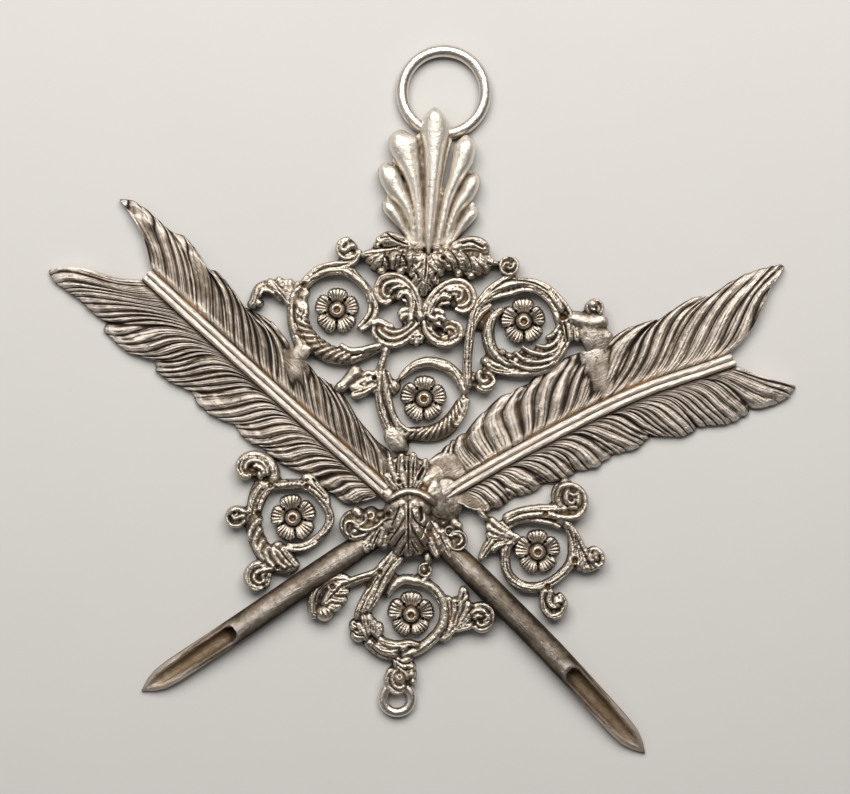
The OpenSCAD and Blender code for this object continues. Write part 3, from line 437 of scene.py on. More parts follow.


# Turns the relief, which holds tarnish in hollows and painted shade, and the height into colour, roughness and bumps
def buildTarnishAndShade():
    looks = tarnishAndShadeLooks
    group = bpy.data.node_groups.new("tarnishedAndShadedSilver", "ShaderNodeTree")
    for way, sockets in (("INPUT", tarnishAndShadeInputs), ("OUTPUT", tarnishAndShadeOutputs)):
        for name, kind in sockets.items():
            group.interface.new_socket(name, in_out=way, socket_type="NodeSocket" + kind)
    given = group.nodes.new("NodeGroupInput").outputs
    out = group.nodes.new("NodeGroupOutput").inputs
    here = objectPlace(group)
    patches, blotches, grain, pits = (noiseField(group, here, *looks[name])
                                      for name in ("patches", "blotches", "grain", "pits"))

    shade = maths(group, "ADD", given["Relief"], given["Wear"])
    shade = swung(group, shade, patches, 0.5, looks["patchSwing"])
    shade = swung(group, shade, blotches, 0.5, looks["blotchSwing"])
    # lower points darker, higher points lighter
    shade = swung(group, shade, given["Lift"], looks["liftMiddle"], looks["liftSwing"])
    brightness = ramp(group, shade, *looks["bright"])
    depth = ramp(group, shade, *looks["deep"])
    stain = maths(group, "MULTIPLY", ramp(group, patches, *looks["amberPatches"]),
                  ramp(group, shade, *looks["amberShades"]))
    stain = maths(group, "MULTIPLY", stain, given["Amber Share"], clamp=True)
    stain = maths(group, "MAXIMUM", stain, given["Stain"])
    colour = blendColours(group, brightness, given["Dull"], given["Bright"])
    colour = blendColours(group, depth, colour, given["Deep"])
    feed(group, blendColours(group, stain, colour, given["Amber"]), out["Color"])

    rough = added(group, given["Polish"], depth, looks["deepRough"])
    rough = added(group, rough, maths(group, "SUBTRACT", 1.0, brightness), looks["dullRough"])
    feed(group, swung(group, rough, blotches, 0.5, looks["blotchRough"], clamp=True), out["Roughness"])
    feed(group, maths(group, "SUBTRACT", 1.0, maths(group, "MULTIPLY", depth, looks["deepUnmetallic"])),
         out["Metallic"])

    rise = maths(group, "MULTIPLY", grain, given["Grain"])
    rise = added(group, rise, ramp(group, pits, *looks["pitLevels"]), looks["pitRise"])
    feed(group, added(group, rise, blotches, looks["blotchRise"]), out["Height"])
    return group


tarnishAndShade = buildTarnishAndShade()


def silverFinish(kind, hand="", slope=None):  # with a slope the metal is brushed along it
    material = bpy.data.materials.new(kind + "Silver" + hand)
    material.use_nodes = True
    tree = material.node_tree
    surface = tree.nodes["Principled BSDF"]
    skin = addNode(tree, "ShaderNodeGroup", {}, node_tree=tarnishAndShade)
    for key, socket in lookSockets.items():
        feed(tree, silverLooks[kind][key], skin.inputs[socket])
    for name in ("relief", "lift", "stain"):
        carried = addNode(tree, "ShaderNodeAttribute", {}, attribute_name=name)
        feed(tree, carried.outputs["Fac"], skin.inputs[name.capitalize()])
    height, rough = skin.outputs["Height"], skin.outputs["Roughness"]
    if slope is not None:
        turned = addNode(tree, "ShaderNodeMapping", {
            "Vector": objectPlace(tree), "Rotation": (0, 0, math.radians(slope)),
            "Scale": (brushLooks["stretch"], 1, 1)}, vector_type="TEXTURE")
        lines = noiseField(tree, turned.outputs["Vector"], *brushLooks["field"])
        height = added(tree, height, lines, brushLooks["rise"])
        rough = swung(tree, rough, lines, 0.5, brushLooks["rough"])
    bump = addNode(tree, "ShaderNodeBump", {
        "Strength": tarnishAndShadeLooks["bump"], "Distance": tarnishAndShadeLooks["bumpDistance"], "Height": height})
    for out, name in ((skin.outputs["Color"], "Base Color"), (skin.outputs["Metallic"], "Metallic"),
                      (rough, "Roughness"), (bump.outputs["Normal"], "Normal")):
        feed(tree, out, surface.inputs[name])
    return material


castSilver = silverFinish("cast")
satinSilver = silverFinish("satin")
wireSilver = silverFinish("wire")
print("finishes made")

# Quills: a feather lofted over its barbs, and a barrel cut to a nib

quillSizes = {
    "vaned": 0.9, "rachisWidth": 1.75, "ribTop": 2.6, "vaneTop": 1.75, "columns": 500, "barbSteps": 36,
    "locks": {"upper": 22, "lower": 34}, "lockDepth": {"upper": 0.60, "lower": 0.48},
    "barbs": {"upper": 66, "lower": 84}, "barbDepth": {"upper": 0.11, "lower": 0.20},
    "barrelWidth": 3.4, "barrelTop": 3.0, "barrelSides": 44, "cutLength": 13.5, "tuftRise": 0.22, "tuftGap": 0.34,
}
crossing = (411.1, 514.6)
leftQuill = {
    # the whole quill is darkened, partly dullness and partly painted shade: the left quill is painted darker than the
    # right
    "slope": -43.9, "feather": 47.5, "nib": 44.7, "side": 1, "bow": 1.6, "seed": 11, "dullAndShade": -0.11,
    "bowRows": ((0, 0), (0.25, 0.4), (0.45, 0.8), (0.6, 1), (0.8, 0.8), (1, 0)),
    # outline of a vane: place along the feather, then the barb's end on the grid
    "upper": ((0, 389, 449), (0.012, 378, 443), (0.03, 366, 428.5), (0.05, 356, 416), (0.07, 349, 404),
              (0.095, 342.5, 394), (0.13, 331, 384), (0.165, 319, 377), (0.19, 311, 370), (0.235, 304.5, 360),
              (0.28, 296, 352), (0.30, 288, 343), (0.34, 279.5, 331), (0.39, 271.5, 321), (0.44, 258, 314),
              (0.48, 248, 308.5), (0.50, 240, 304), (0.53, 232, 293), (0.58, 226.5, 282), (0.63, 216.5, 271.5),
              (0.67, 202, 266), (0.69, 198.5, 259.5), (0.73, 194, 247), (0.78, 183.5, 236), (0.82, 168.5, 230),
              (0.86, 159, 221), (0.90, 147, 210), (0.955, 134, 201), (1, 118.5, 198)),
    "lower": ((0, 348, 506), (0.05, 328, 492), (0.095, 309, 480), (0.12, 296, 471), (0.15, 282, 465),
              (0.185, 267, 454), (0.213, 261, 447.5), (0.25, 251, 444), (0.29, 239.5, 434), (0.318, 234, 424.5),
              (0.335, 225, 422), (0.365, 210.5, 415), (0.40, 198, 405), (0.43, 190, 391.5), (0.46, 181, 387.5),
              (0.51, 167.5, 381), (0.56, 155.5, 371), (0.59, 154.5, 361), (0.615, 144, 358), (0.65, 127, 352.5),
              (0.68, 116, 343), (0.71, 103.5, 331.5), (0.733, 104.5, 322), (0.77, 96, 316), (0.82, 87, 307.5),
              (0.87, 77, 298), (0.92, 65, 290), (0.965, 52.5, 281), (1, 47.5, 269.5)),
    "upperTufts": (0.095, 0.28, 0.48, 0.67, 0.82), "lowerTufts": (0.095, 0.213, 0.318, 0.43, 0.59, 0.733),
    # bows and waves of the barbs along a vane, positive to the feather's tip
    "upperBows": ((0, -2, 0), (0.095, -5, 1), (0.28, -7, 2), (0.48, -8, 2), (0.67, -8, 1), (0.82, -8, 1), (1, -6, 0)),
    "lowerBows": ((0, 0, 0), (0.1, 2, 1), (0.213, 4, 2), (0.318, 6, 3), (0.43, 9, 4), (0.59, 8, 4), (0.733, 4, 2),
                  (1, 3, -3)),
}
rightQuill = {
    "slope": 180 + 29.2, "feather": 47.5, "nib": 43, "side": -1, "bow": 3.5, "seed": 29, "dullAndShade": -0.05,
    "bowRows": ((0, 0), (0.12, 0.7), (0.22, 0.92), (0.37, 1), (0.5, 0.93), (0.65, 0.75), (0.82, 0.35), (1, 0)),
    "upper": ((0, 425, 465), (0.03, 440, 452), (0.09, 452, 441), (0.161, 467, 431), (0.20, 482, 413),
              (0.25, 502, 396), (0.30, 526, 385), (0.33, 541, 372), (0.37, 560, 359), (0.42, 590, 350),
              (0.45, 608, 340), (0.50, 632, 326), (0.55, 655, 320), (0.569, 661, 319), (0.61, 674, 309),
              (0.66, 692, 298), (0.731, 713, 294.5), (0.78, 729, 283), (0.85, 748, 273), (0.92, 768, 267),
              (0.97, 780, 264.5), (1, 786, 266)),
    "lower": ((0, 470, 509), (0.06, 488, 511), (0.10, 502, 507), (0.14, 512, 498), (0.18, 531, 493.5),
              (0.213, 545, 484), (0.25, 563, 481), (0.30, 575, 472.5), (0.35, 597, 467.5), (0.403, 612, 455.5),
              (0.47, 637, 449), (0.541, 651, 436), (0.62, 682, 437), (0.68, 695, 431), (0.707, 697, 427),
              (0.79, 729, 424), (0.85, 747, 415), (0.876, 751, 409.5), (0.92, 773, 406), (0.96, 789, 397),
              (1, 797, 386)),
    "upperTufts": (0.161, 0.30, 0.42, 0.569, 0.731), "lowerTufts": (0.14, 0.213, 0.30, 0.403, 0.541, 0.707, 0.876),
    "upperBows": ((0, -2, 0), (0.16, -5, 2), (0.30, -6, 2), (0.42, -6, 3), (0.57, -6, 3), (0.73, -6, 4), (1, 3, 3)),
    "lowerBows": ((0, 3, 0), (0.14, 5, 1), (0.3, 8, 1), (0.4, 9, 2), (0.54, 10, 2), (0.7, 11, 2), (0.876, 8, 1),
                  (1, -2, 0)),
}


def quillLine(quill):
    slope = math.radians(quill["slope"])
    along = np.array((math.cos(slope), math.sin(slope)))
    up = quill["side"] * np.array((-along[1], along[0]))
    rows = np.array(quill["bowRows"])
    whole = quill["feather"] + quill["nib"]

    def bow(s):
        return quill["bow"] * (np.interp(s - 0.05, rows[:, 0], rows[:, 1]) + 2 * np.interp(s, rows[:, 0], rows[:, 1])
                               + np.interp(s + 0.05, rows[:, 0], rows[:, 1])) / 4

    def axis(d):
        d = np.asarray(d, float)
        rise = bow((d + quill["feather"]) / whole) - bow(quill["feather"] / whole)
        return plan(*crossing) + d[..., None] * along + rise[..., None] * up

    return axis, along, up


def unevenSteps(share, count, draw):  # a rising count of ridges of uneven width
    widths = draw.uniform(0.55, 1.5, count)
    return np.interp(share, np.concatenate([[0], np.cumsum(widths)]) / widths.sum(), np.arange(count + 1))


# The plan points of one vane, in an array (columns, steps, 2), and the heights of its locks and barbs
def vaneShape(quill, side, share, steps, seed):
    sizes = quillSizes
    name = "upper" if side > 0 else "lower"
    axis, along, up = quillLine(quill)
    rows = np.array(quill[name], float)
    bows = np.array(quill[name + "Bows"], float)
    draw = np.random.default_rng(seed)
    d = -quill["feather"] * (1 - sizes["vaned"] * (1 - share))
    root = axis(d) + side * sizes["rachisWidth"] / 2 * up
    places = np.array([plan(x, y) for x, y in rows[:, 1:]])
    tip = np.stack([np.interp(share, rows[:, 0], places[:, k]) for k in (0, 1)], 1)
    kernel = np.hanning(9)[1:-1] / np.hanning(9)[1:-1].sum()
    padded = np.vstack([2 * tip[0] - tip[3:0:-1], tip, 2 * tip[-1] - tip[-2:-5:-1]])
    tip = np.stack([np.convolve(padded[:, k], kernel, "valid") for k in (0, 1)], 1)
    lock = unevenSteps(share, sizes["locks"][name], draw)
    barb = unevenSteps(share, sizes["barbs"][name], draw)
    b = steps[None, :]
    outward = (tip - root) / np.hypot(*(tip - root).T)[:, None]
    tip = tip + outward * (0.28 * (np.abs(np.sin(np.pi * lock)) ** 0.6 - 0.6))[:, None]
    run = tip - root
    bend = np.interp(share, bows[:, 0], bows[:, 1]) * gridStep
    wave = np.interp(share, bows[:, 0], bows[:, 2]) * gridStep
    lean = np.stack([-run[:, 1], run[:, 0]], 1) / np.hypot(*run.T)[:, None]
    lean *= np.sign(lean @ -along)[:, None]
    points = root[:, None] + run[:, None] * b[..., None] + lean[:, None] * (
        bend[:, None] * np.sin(np.pi * b) + wave[:, None] * np.sin(2 * np.pi * b))[..., None]

    # locks wander and lap over one another; towards the rachis they split into fine barbs
    lockDraws, barbDraws = 89, 211
    wander = np.array([[noise.noise((x * 6.5, y * 1.6, seed)) for y in steps] for x in share]) * 1.3 * b
    laps = lock[:, None] + wander
    splits = barb[:, None] + 2.4 * wander
    crest = np.abs(np.sin(np.pi * laps))
    which = np.floor(laps).astype(int) % lockDraws
    force = draw.uniform(0.62, 1.0, lockDraws)[which]
    level = draw.uniform(-0.10, 0.10, lockDraws)[which]
    fine = np.abs(np.sin(np.pi * splits))
    fineForce = draw.uniform(0.4, 1.0, barbDraws)[np.floor(splits).astype(int) % barbDraws]
    height = sizes["vaneTop"] * np.interp(b, (0, 0.03, 0.09, 0.4, 0.75, 0.93, 1),
                                          (0.68, 0.86, 0.96, 1.03, 0.95, 0.72, 0.42))
    height = height + level * smoothStep(0.1, 0.4, b)
    lockFade = np.interp(b, (0, 0.12, 0.4, 1), (0.2, 0.55, 1, 0.9))
    barbFade = np.interp(b, (0, 0.3, 0.6, 1), (1.0, 0.85, 0.45, 0.4))
    height = height - sizes["lockDepth"][name] * force * (1 - crest ** 0.75) * lockFade
    height -= sizes["barbDepth"][name] * fineForce * (1 - fine ** 0.8) * barbFade
    edges = (0, *quill[name + "Tufts"], 1)
    tuftFade = np.interp(b, (0, 0.3, 0.85, 1), (0, 0.5, 1, 0.6))
    for low, high in zip(edges, edges[1:]):  # each tuft is a pillow that laps over the next one's edge
        c = np.clip((share - low) / (high - low), 0, 1)
        inside = ((share >= low) & (share < high))[:, None]
        height += inside * sizes["tuftRise"] * (np.sin(np.pi * c) ** 0.7 - 0.5)[:, None] * tuftFade
    for edge in edges[1:-1]:
        away = (share - edge)[:, None] * sizes["locks"][name]
        height -= sizes["tuftGap"] * np.exp(-(away / 0.22) ** 2) * np.interp(b, (0, 0.3, 1), (0.0, 0.7, 1.0))
    return points, height


def featherMesh(quill, seed):
    sizes = quillSizes
    share = np.linspace(0, 1, sizes["columns"])
    steps = np.linspace(0, 1, sizes["barbSteps"]) ** 0.92
    axis, along, up = quillLine(quill)
    strips, heights = [], []
    for side in (-1, 1):
        points, levels = vaneShape(quill, side, share, steps, seed + side)
        order = slice(None, None, -1) if side < 0 else slice(None)
        strips.append(points[:, order])
        heights.append(np.maximum(levels[:, order], 0.3))
    d = -quill["feather"] * (1 - sizes["vaned"] * (1 - share))
    middle = axis(d)
    ribs = np.array((-0.5, -0.49, -0.44, -0.36, -0.25, -0.14, -0.06, 0, 0.06, 0.14, 0.25, 0.36, 0.44, 0.49, 0.5))
    curve = np.sqrt(np.clip(1 - ((np.abs(ribs) - 0.25) / 0.25) ** 2, 0, 1))
    ribHeights = sizes["ribTop"] - sizes["rachisWidth"] * 0.27 * (1 - curve)
    ribHeights[[0, -1]] = sizes["vaneTop"] * 0.85
    rib = middle[:, None] + (ribs * sizes["rachisWidth"])[None, :, None] * up
    plane = np.concatenate([strips[0], rib, strips[1]], axis=1)
    level = np.concatenate([heights[0], np.tile(ribHeights, (len(share), 1)), heights[1]], axis=1)
    across = plane.shape[1]
    bm = bmesh.new()
    bmesh.ops.create_grid(bm, x_segments=len(share) - 1, y_segments=across - 1, size=1)
    for v in bm.verts:
        i = int(round((v.co.x + 1) / 2 * (len(share) - 1)))
        j = int(round((v.co.y + 1) / 2 * (across - 1)))
        v.co = (plane[i, j, 0], plane[i, j, 1], level[i, j])
    rim = [e for e in bm.edges if e.is_boundary]
    made = bmesh.ops.extrude_edge_only(bm, edges=rim)
    for v in vertsOf(made):
        v.co.z = 0
    bmesh.ops.triangle_fill(bm, use_beauty=True, edges=[e for e in edgesOf(made) if e.is_boundary])
    bmesh.ops.recalc_face_normals(bm, faces=bm.faces)
    return bm


def barrelInto(target, quill):
    sizes = quillSizes
    axis, along, up = quillLine(quill)
    nib = quill["nib"]
    cut = 0.96 - sizes["cutLength"] / nib
    rows = np.array(((-0.11, 0.66, 0.8), (0, 0.74, 0.85), (0.12, 0.88, 0.95), (0.25, 1, 1), (cut, 1, 1),
                     (0.88, 0.98, 0.96), (0.93, 0.86, 0.86), (0.965, 0.55, 0.66), (1, 0.03, 0.4)))
    stops = np.concatenate([np.arange(-0.11, cut, 0.012), np.arange(cut, 0.996, 0.0045), [0.996, 0.9985]])
    places = []
    for s in stops:
        here = axis(np.array(s * nib))
        ahead = axis(np.array(s * nib + 0.1)) - here
        ahead /= np.hypot(*ahead)
        width = sizes["barrelWidth"] * np.interp(s, rows[:, 0], rows[:, 1])
        top = sizes["barrelTop"] * np.interp(s, rows[:, 0], rows[:, 2])
        places.append(section(here, ahead, width, -0.28 * top, top))
    bm = lofted(places, sizes["barrelSides"])
    middle = plan(*crossing)
    for v in bm.verts:  # the slanted cut is a channel between two thin rims
        v.co.z = max(v.co.z, 0)
        rough = np.array(v.co.xy) - middle
        d = float(rough @ along)
        s = d / nib
        if s > cut - 0.02 and v.co.z > 0.2:
            here = axis(np.array(d))
            off = abs(float((np.array(v.co.xy) - here) @ up))
            half = sizes["barrelWidth"] / 2 * np.interp(s, rows[:, 0], rows[:, 1])
            into = max(0, min(1, (s - cut) * nib / 1.3))  # the channel widens over its first 1.3 mm
            channel = half * 0.70 * math.sqrt(into * (2 - into))
            lower = np.interp(s, (cut, 0.80, 0.92, 1), (0.0, 0.35, 0.75, 1.3))
            v.co.z -= lower * float(np.clip(v.co.z / 2.2, 0, 1))
            if channel > 0.05:
                wall = float(smoothStep(1.0, 0.6, off / channel))
                floor = 0.85 + 0.75 * (off / channel) ** 2
                if v.co.z > floor:
                    v.co.z += (floor - v.co.z) * wall
    take(target, bm)


# Solder that has run over each feather: place and half lengths on the grid, turn, height at its rim and rise
solderRuns = {"quill_left": ((296, 364, 15, 27, 14, 1.42, 0.6), (403, 456, 16, 13, 0, 1.5, 0.5)),
              "quill_right": ((597, 362, 18, 42, 12, 1.4, 0.62), (440, 474, 30, 21, 35, 1.5, 0.7),
                              (460, 506, 34, 19, -8, 1.4, 0.7), (440, 492, 20, 14, 30, 2.1, 0.7))}

for name, quill in (("quill_left", leftQuill), ("quill_right", rightQuill)):
    bm = featherMesh(quill, quill["seed"])
    barrelInto(bm, quill)
    mesh = meshFrom(bm, name)
    co = readCo(mesh)
    soldered = np.zeros(len(co))
    for x, y, rx, ry, turn, rim, rise in solderRuns[name]:
        across, along = ((co[:, :2] - plan(x, y)) @ np.array(Matrix.Rotation(math.radians(turn), 2)) / gridStep).T
        away = np.hypot(across / rx, along / ry)
        run = smoothStep(1.0, 0.8, away) * (co[:, 2] > 0.5)
        above = np.maximum(rim + rise * (1 - away ** 2) - co[:, 2], 0) * run
        soldered = np.maximum(soldered, smoothStep(0, 0.12, above))
        co[:, 2] += above
    writeCo(mesh, co)
    axis, along, up = quillLine(quill)
    down = (co[:, :2] - plan(*crossing)) @ along
    off = np.abs(np.einsum("ij,j->i", co[:, :2] - axis(down), up))
    # painted light: inside the nib's scoop the colour is made lighter against its shade, and stained amber
    inner = smoothStep(0.9, 0.3, np.abs(co[:, 2] - 1.1)) * smoothStep(27, 30, down)
    beside = np.exp(-((off - quillSizes["rachisWidth"] / 2 - 0.12) / 0.16) ** 2)
    crevice = beside * (down < 0) * (co[:, 2] < 2.2) * (co[:, 2] > 0.6)
    patchy = np.array([0.5 + noise.noise((p[0] * 0.35, p[1] * 0.35, 4)) for p in co])
    # the barrel's sides are darker, partly tarnish and partly painted shade that leaves a painted highlight along its
    # middle
    flankTarnishAndShade = np.clip(off / quillSizes["barrelWidth"] * 2, 0, 1) ** 2
    shade = quill["dullAndShade"] - 0.11 * soldered * (0.2 + 1.8 * patchy)
    shade = shade - smoothStep(0, 6, down) * (0.42 + 0.34 * flankTarnishAndShade - 0.06 * patchy) + inner * 0.9  # barrels darker, sides partly painted shade, scoop painted lighter
    maskRelief(mesh, fine=4, broad=11, shade=shade, stain=np.clip(crevice * patchy * 1.25 + inner * 0.24, 0, 0.85))
    dress(name, mesh, silverFinish("quill", name.split("_")[1].capitalize(), quill["slope"]))

# Rosettes: five fluted petals round a drilled boss

rosetteSizes = {"radius": 3.22, "around": 200, "rings": 36, "petals": 5, "flutes": 7, "boss": 0.32, "pit": 0.135,
                "notch": 0.23,
                "lengths": (0.92, 1.03), "tilt": 0.12, "foot": 0.96, "hole": 0.53, "holeSize": (0.085, 0.22),
                "stained": (0.42, 0.30)}
rosettes = {  # turn of the first petal in degrees, seed
    "rosette_upper_left": (88, 3), "rosette_upper_right": (92, 5), "rosette_middle": (88, 7),
    "rosette_lower_left": (99, 9), "rosette_lower_right": (92, 12), "rosette_bottom": (89, 15)}


def rosetteMesh(nodeName, turn, seed):
    sizes = rosetteSizes
    middle = boxMiddle(nodeName)
    high = boxSize(nodeName).z
    draw = np.random.default_rng(seed)
    bm = bmesh.new()
    bmesh.ops.create_grid(bm, x_segments=sizes["around"], y_segments=sizes["rings"], size=1)
    lengths = draw.uniform(*sizes["lengths"], sizes["petals"])
    tilts = draw.uniform(-sizes["tilt"], sizes["tilt"], sizes["petals"])
    for v in bm.verts:
        share = (v.co.x + 1) / 2
        angle = math.radians(turn) + share * math.tau
        turnShare = share * sizes["petals"] + 0.5
        petal = int(turnShare) % sizes["petals"]
        across = turnShare % 1 * 2 - 1
        c = abs(across)  # 0 on the petal's middle, 1 between petals
        flute = abs(math.sin(math.pi * sizes["flutes"] * (across + 1) / 2))
        rim = lengths[petal] * (1 - sizes["notch"] * c ** 4.5) * (1 - 0.035 * (1 - flute ** 0.8))
        r = ((v.co.y + 1) / 2) ** 0.85
        reach = r * (1 + (rim - 1) * float(smoothStep(0.42, 1.0, r)))
        if r < sizes["boss"]:
            u = r / sizes["boss"]
            z = high * (0.60 + 0.40 * math.sqrt(max(0, 1 - (max(0, u - 0.45) / 0.55) ** 2.2)))
            z -= 0.75 * float(smoothStep(sizes["pit"] * 1.2, sizes["pit"] * 0.6, r))
        else:
            u = (r - sizes["boss"]) / (1 - sizes["boss"])
            z = high * (0.42 + 0.36 * math.sin(math.pi * (u * 0.62 + 0.12)) + tilts[petal] * across * 0.8)
            z -= 0.52 * c ** 7 * (1 - 0.3 * u)
            z += 0.14 * math.exp(-((c - 0.66) / 0.18) ** 2) * u - 0.16 * math.exp(-(c / 0.35) ** 2) * u
            z -= (0.13 + 0.06 * math.sin(turnShare * 9.1)) * (1 - flute ** 0.6) * float(smoothStep(0.10, 0.5, u))
            z -= 0.45 * float(smoothStep(0.86, 1.0, u))
            hole = math.hypot((r - sizes["hole"]) / sizes["holeSize"][0], (1 - c) / sizes["holeSize"][1])
            z -= 0.6 * float(smoothStep(1.0, 0.5, hole))
            z += 0.12 * math.exp(-((hole - 1.25) / 0.25) ** 2)
        out = sizes["radius"] * reach
        v.co = (middle.x + out * math.cos(angle), middle.y + out * math.sin(angle), max(z, 0.2))
    bmesh.ops.remove_doubles(bm, verts=bm.verts, dist=0.0005)
    rim = [e for e in bm.edges if e.is_boundary]
    made = bmesh.ops.extrude_edge_only(bm, edges=rim)
    rim = [e for e in edgesOf(made) if e.is_boundary]
    for v in vertsOf(made):
        v.co.x = middle.x + (v.co.x - middle.x) * sizes["foot"]
        v.co.y = middle.y + (v.co.y - middle.y) * sizes["foot"]
        v.co.z = 0
    bmesh.ops.contextual_create(bm, geom=rim)
    bmesh.ops.recalc_face_normals(bm, faces=bm.faces)
    return meshFrom(bm, nodeName)


for nodeName, (turn, seed) in rosettes.items():
    mesh = rosetteMesh(nodeName, turn, seed)
    away = np.hypot(*(readCo(mesh)[:, :2] - np.array(boxMiddle(nodeName).xy)).T)
    pit = smoothStep(*rosetteSizes["stained"], away)
    maskRelief(mesh, fine=4, broad=16, scales=(0.02, 0.08), shade=0.35 * pit, stain=0.75 * pit)
    dress(nodeName, mesh, castSilver)

# Palmette: seven smooth convex lobes with thin fillets between

palmetteSizes = {"voxel": 0.15, "smoothing": 3, "triangles": 44000, "filletTop": 1.75}
palmetteLobes = (  # the middle line from foot to tip with the widths, then the top of the head
    (((428.5, 256, 5), (429, 240, 9), (431, 210, 13), (433, 180, 16.5), (434.5, 150, 23), (435, 130, 29.5),
      (434.8, 117, 21), (434.8, 110, 10), (434.8, 107, 3)), 3.6),
    (((420, 250, 6), (419.5, 230, 9), (417, 200, 12), (413.5, 180, 15.5), (407.5, 160, 24), (403, 144, 29),
      (401, 135, 22), (402, 129.5, 7)), 3.3),
    (((414, 250, 5), (412.5, 228, 7), (407, 208, 12), (396, 190, 20), (389, 176, 21), (386, 167, 16),
      (386, 162.5, 5)), 3.0),
    (((410.5, 248, 4), (405.5, 234, 6), (398.5, 221, 11), (390, 209, 14), (385.5, 203.5, 9.5), (383, 200.5, 4)), 2.7),
    (((437.5, 250, 7), (441, 230, 10), (447.5, 200, 11), (455, 180, 15), (462, 162, 21.5), (465.5, 147, 21.5),
      (466, 139, 14), (465.3, 135, 5)), 3.3),
    (((445.5, 248, 5), (449.5, 228, 8), (457, 209, 12), (466, 196, 16.5), (472, 184, 16), (475, 177, 11),
      (475.8, 172.5, 4)), 3.0),
    (((449, 247, 4), (457, 235, 8), (464, 224, 12), (471, 215, 13), (475, 210, 8.5), (476, 207, 3.5)), 2.7))
palmetteFillets = (
    ((418.4, 133.6, 4), (421, 146), (423.2, 175), (424, 205), (424.2, 248)),
    ((450.8, 138, 4), (444.5, 163), (439, 197), (433.5, 247)),
    ((392.3, 159, 4), (404.5, 173), (410.5, 192), (414.4, 215), (416.3, 247)),
    ((470.7, 170, 4), (461.6, 181), (453.6, 195), (441, 246)),
    ((387, 196, 4), (398, 205), (405, 218), (409.5, 237), (412, 248)),
    ((475, 204, 4), (464, 210), (456, 222), (447, 247)))

bm = bmesh.new()
for rows, top in palmetteLobes:
    count = len(rows) - 1
    levels = [top * (0.52 + 0.48 * math.sin(math.pi / 2 * min(1, 1.25 * i / count))) for i in range(count + 1)]
    levels[-2:] = top * 0.80, top * 0.55
    lobe = [(*plan(x, y), w * gridStep, -0.2, level) for (x, y, w), level in zip(rows, levels)]
    sweepRun(bm, lobe, ends=(0.6, 0.3), sides=24, step=0.5)
for rows in palmetteFillets:
    tube(bm, *rows, top=palmetteSizes["filletTop"], ends=(0.5, 0.5))
mesh = fused(bm, palmetteSizes["voxel"], palmetteSizes["smoothing"])
co = readCo(mesh)
co[:, 2] = np.maximum(co[:, 2], 0)
writeCo(mesh, co)
maskRelief(mesh, fine=6, broad=30, scales=(0.03, 0.14))
dress("palmette", thinned(mesh, palmetteSizes["triangles"]), satinSilver)

# The two soldered wire rings

wireRings = {"suspension_ring": {"wire": 1.6, "waver": 0.03}, "lower_loop": {"wire": 1.3, "waver": 0.05}}
wireSteps = {"around": 28, "along": 144}
for nodeName, ring in wireRings.items():
    middle = boxMiddle(nodeName)
    radius = (boxSize(nodeName).x - ring["wire"]) / 2
    bm = bmesh.new()
    upright = Matrix.Rotation(math.pi / 2, 4, "X")
    place = Matrix.Translation((middle.x + radius, middle.y, ring["wire"] / 2)) @ upright
    bmesh.ops.create_circle(bm, segments=wireSteps["around"], radius=ring["wire"] / 2, matrix=place)
    bmesh.ops.spin(bm, geom=bm.verts[:] + bm.edges[:], cent=(middle.x, middle.y, 0), axis=(0, 0, 1),
                   angle=math.tau, steps=wireSteps["along"], use_merge=True, dvec=(0, 0, 0))
    for v in bm.verts:
        outward = Vector((v.co.x - middle.x, v.co.y - middle.y, 0)).normalized()
        v.co += outward * (ring["waver"] * noise.noise(v.co * 0.55))
        v.co.z = max(v.co.z, 0)
    bmesh.ops.remove_doubles(bm, verts=bm.verts, dist=0.0001)
    bmesh.ops.recalc_face_normals(bm, faces=bm.faces)
    mesh = meshFrom(bm, nodeName)
    maskRelief(mesh, fine=3, broad=8)
    dress(nodeName, mesh, wireSilver)

# Castings: each is drawn as strands, fused, and then chased with grooves and drilled eyes


# A low rounded lobe; the smaller the crown, the flatter its top
def disc(target, x, y, rx, ry, top, deep=1.2, turn=0, crown=0.6):
    bm = bmesh.new()
    middle = plan(x, y)
    bmesh.ops.create_uvsphere(bm, u_segments=24, v_segments=16, radius=1)
    for v in bm.verts:
        v.co.z = math.copysign(abs(v.co.z) ** crown, v.co.z)
    bmesh.ops.transform(bm, verts=bm.verts, matrix=Matrix.Translation((middle[0], middle[1], top - deep))
                        @ Matrix.Rotation(math.radians(turn), 4, "Z")
                        @ Matrix.Diagonal((rx * gridStep, ry * gridStep, deep, 1)))
    take(target, bm)


# A tightly rolled end: a band round a low ball, with comma-shaped crescents swirling in to the middle
def curl(target, x, y, r, start, turn, top, commas):
    side = 1 if turn > 0 else -1
    disc(target, x, y, r * 0.9, r * 0.9, top - 0.22, top)
    spiral(target, x, y, (r * 0.84, r * 0.74), start, turn, (r * 0.36, r * 0.30), (top, top + 0.05), deep=1.3)
    for k in range(commas):
        spiral(target, x, y, (r * 0.55, r * 0.10), start + turn * 0.6 + k * 360 / commas, side * 190,
               (r * 0.34, r * 0.22), (top + 0.02, top + 0.2), deep=0.8)


castingSizes = {
    "voxel": 0.108, "smoothing": 2, "triangles": 64000,
    # the ground between the strands: pitch of its grid, widest gap that it fills, and how far it lies below them
    "pitch": 0.12, "closing": 0.42, "drop": 0.30,
    "chaseWidth": 0.17, "chaseDepth": 0.13, "meltedPasses": 16,
    # waves and fine skin: size and height of the unevenness
    "uneven": ((2.6, 0.08), (0.9, 0.05)), "skin": ((0.42, 0.045), (0.27, 0.03)),
}


def shifted(levels, steps, pick):
    padded = np.pad(levels, steps[-1][2])
    reach, (rows, columns) = steps[-1][2], levels.shape
    out = levels
    for i, j, _ in steps:
        out = pick(out, padded[reach + i:reach + i + rows, reach + j:reach + j + columns])
    return out


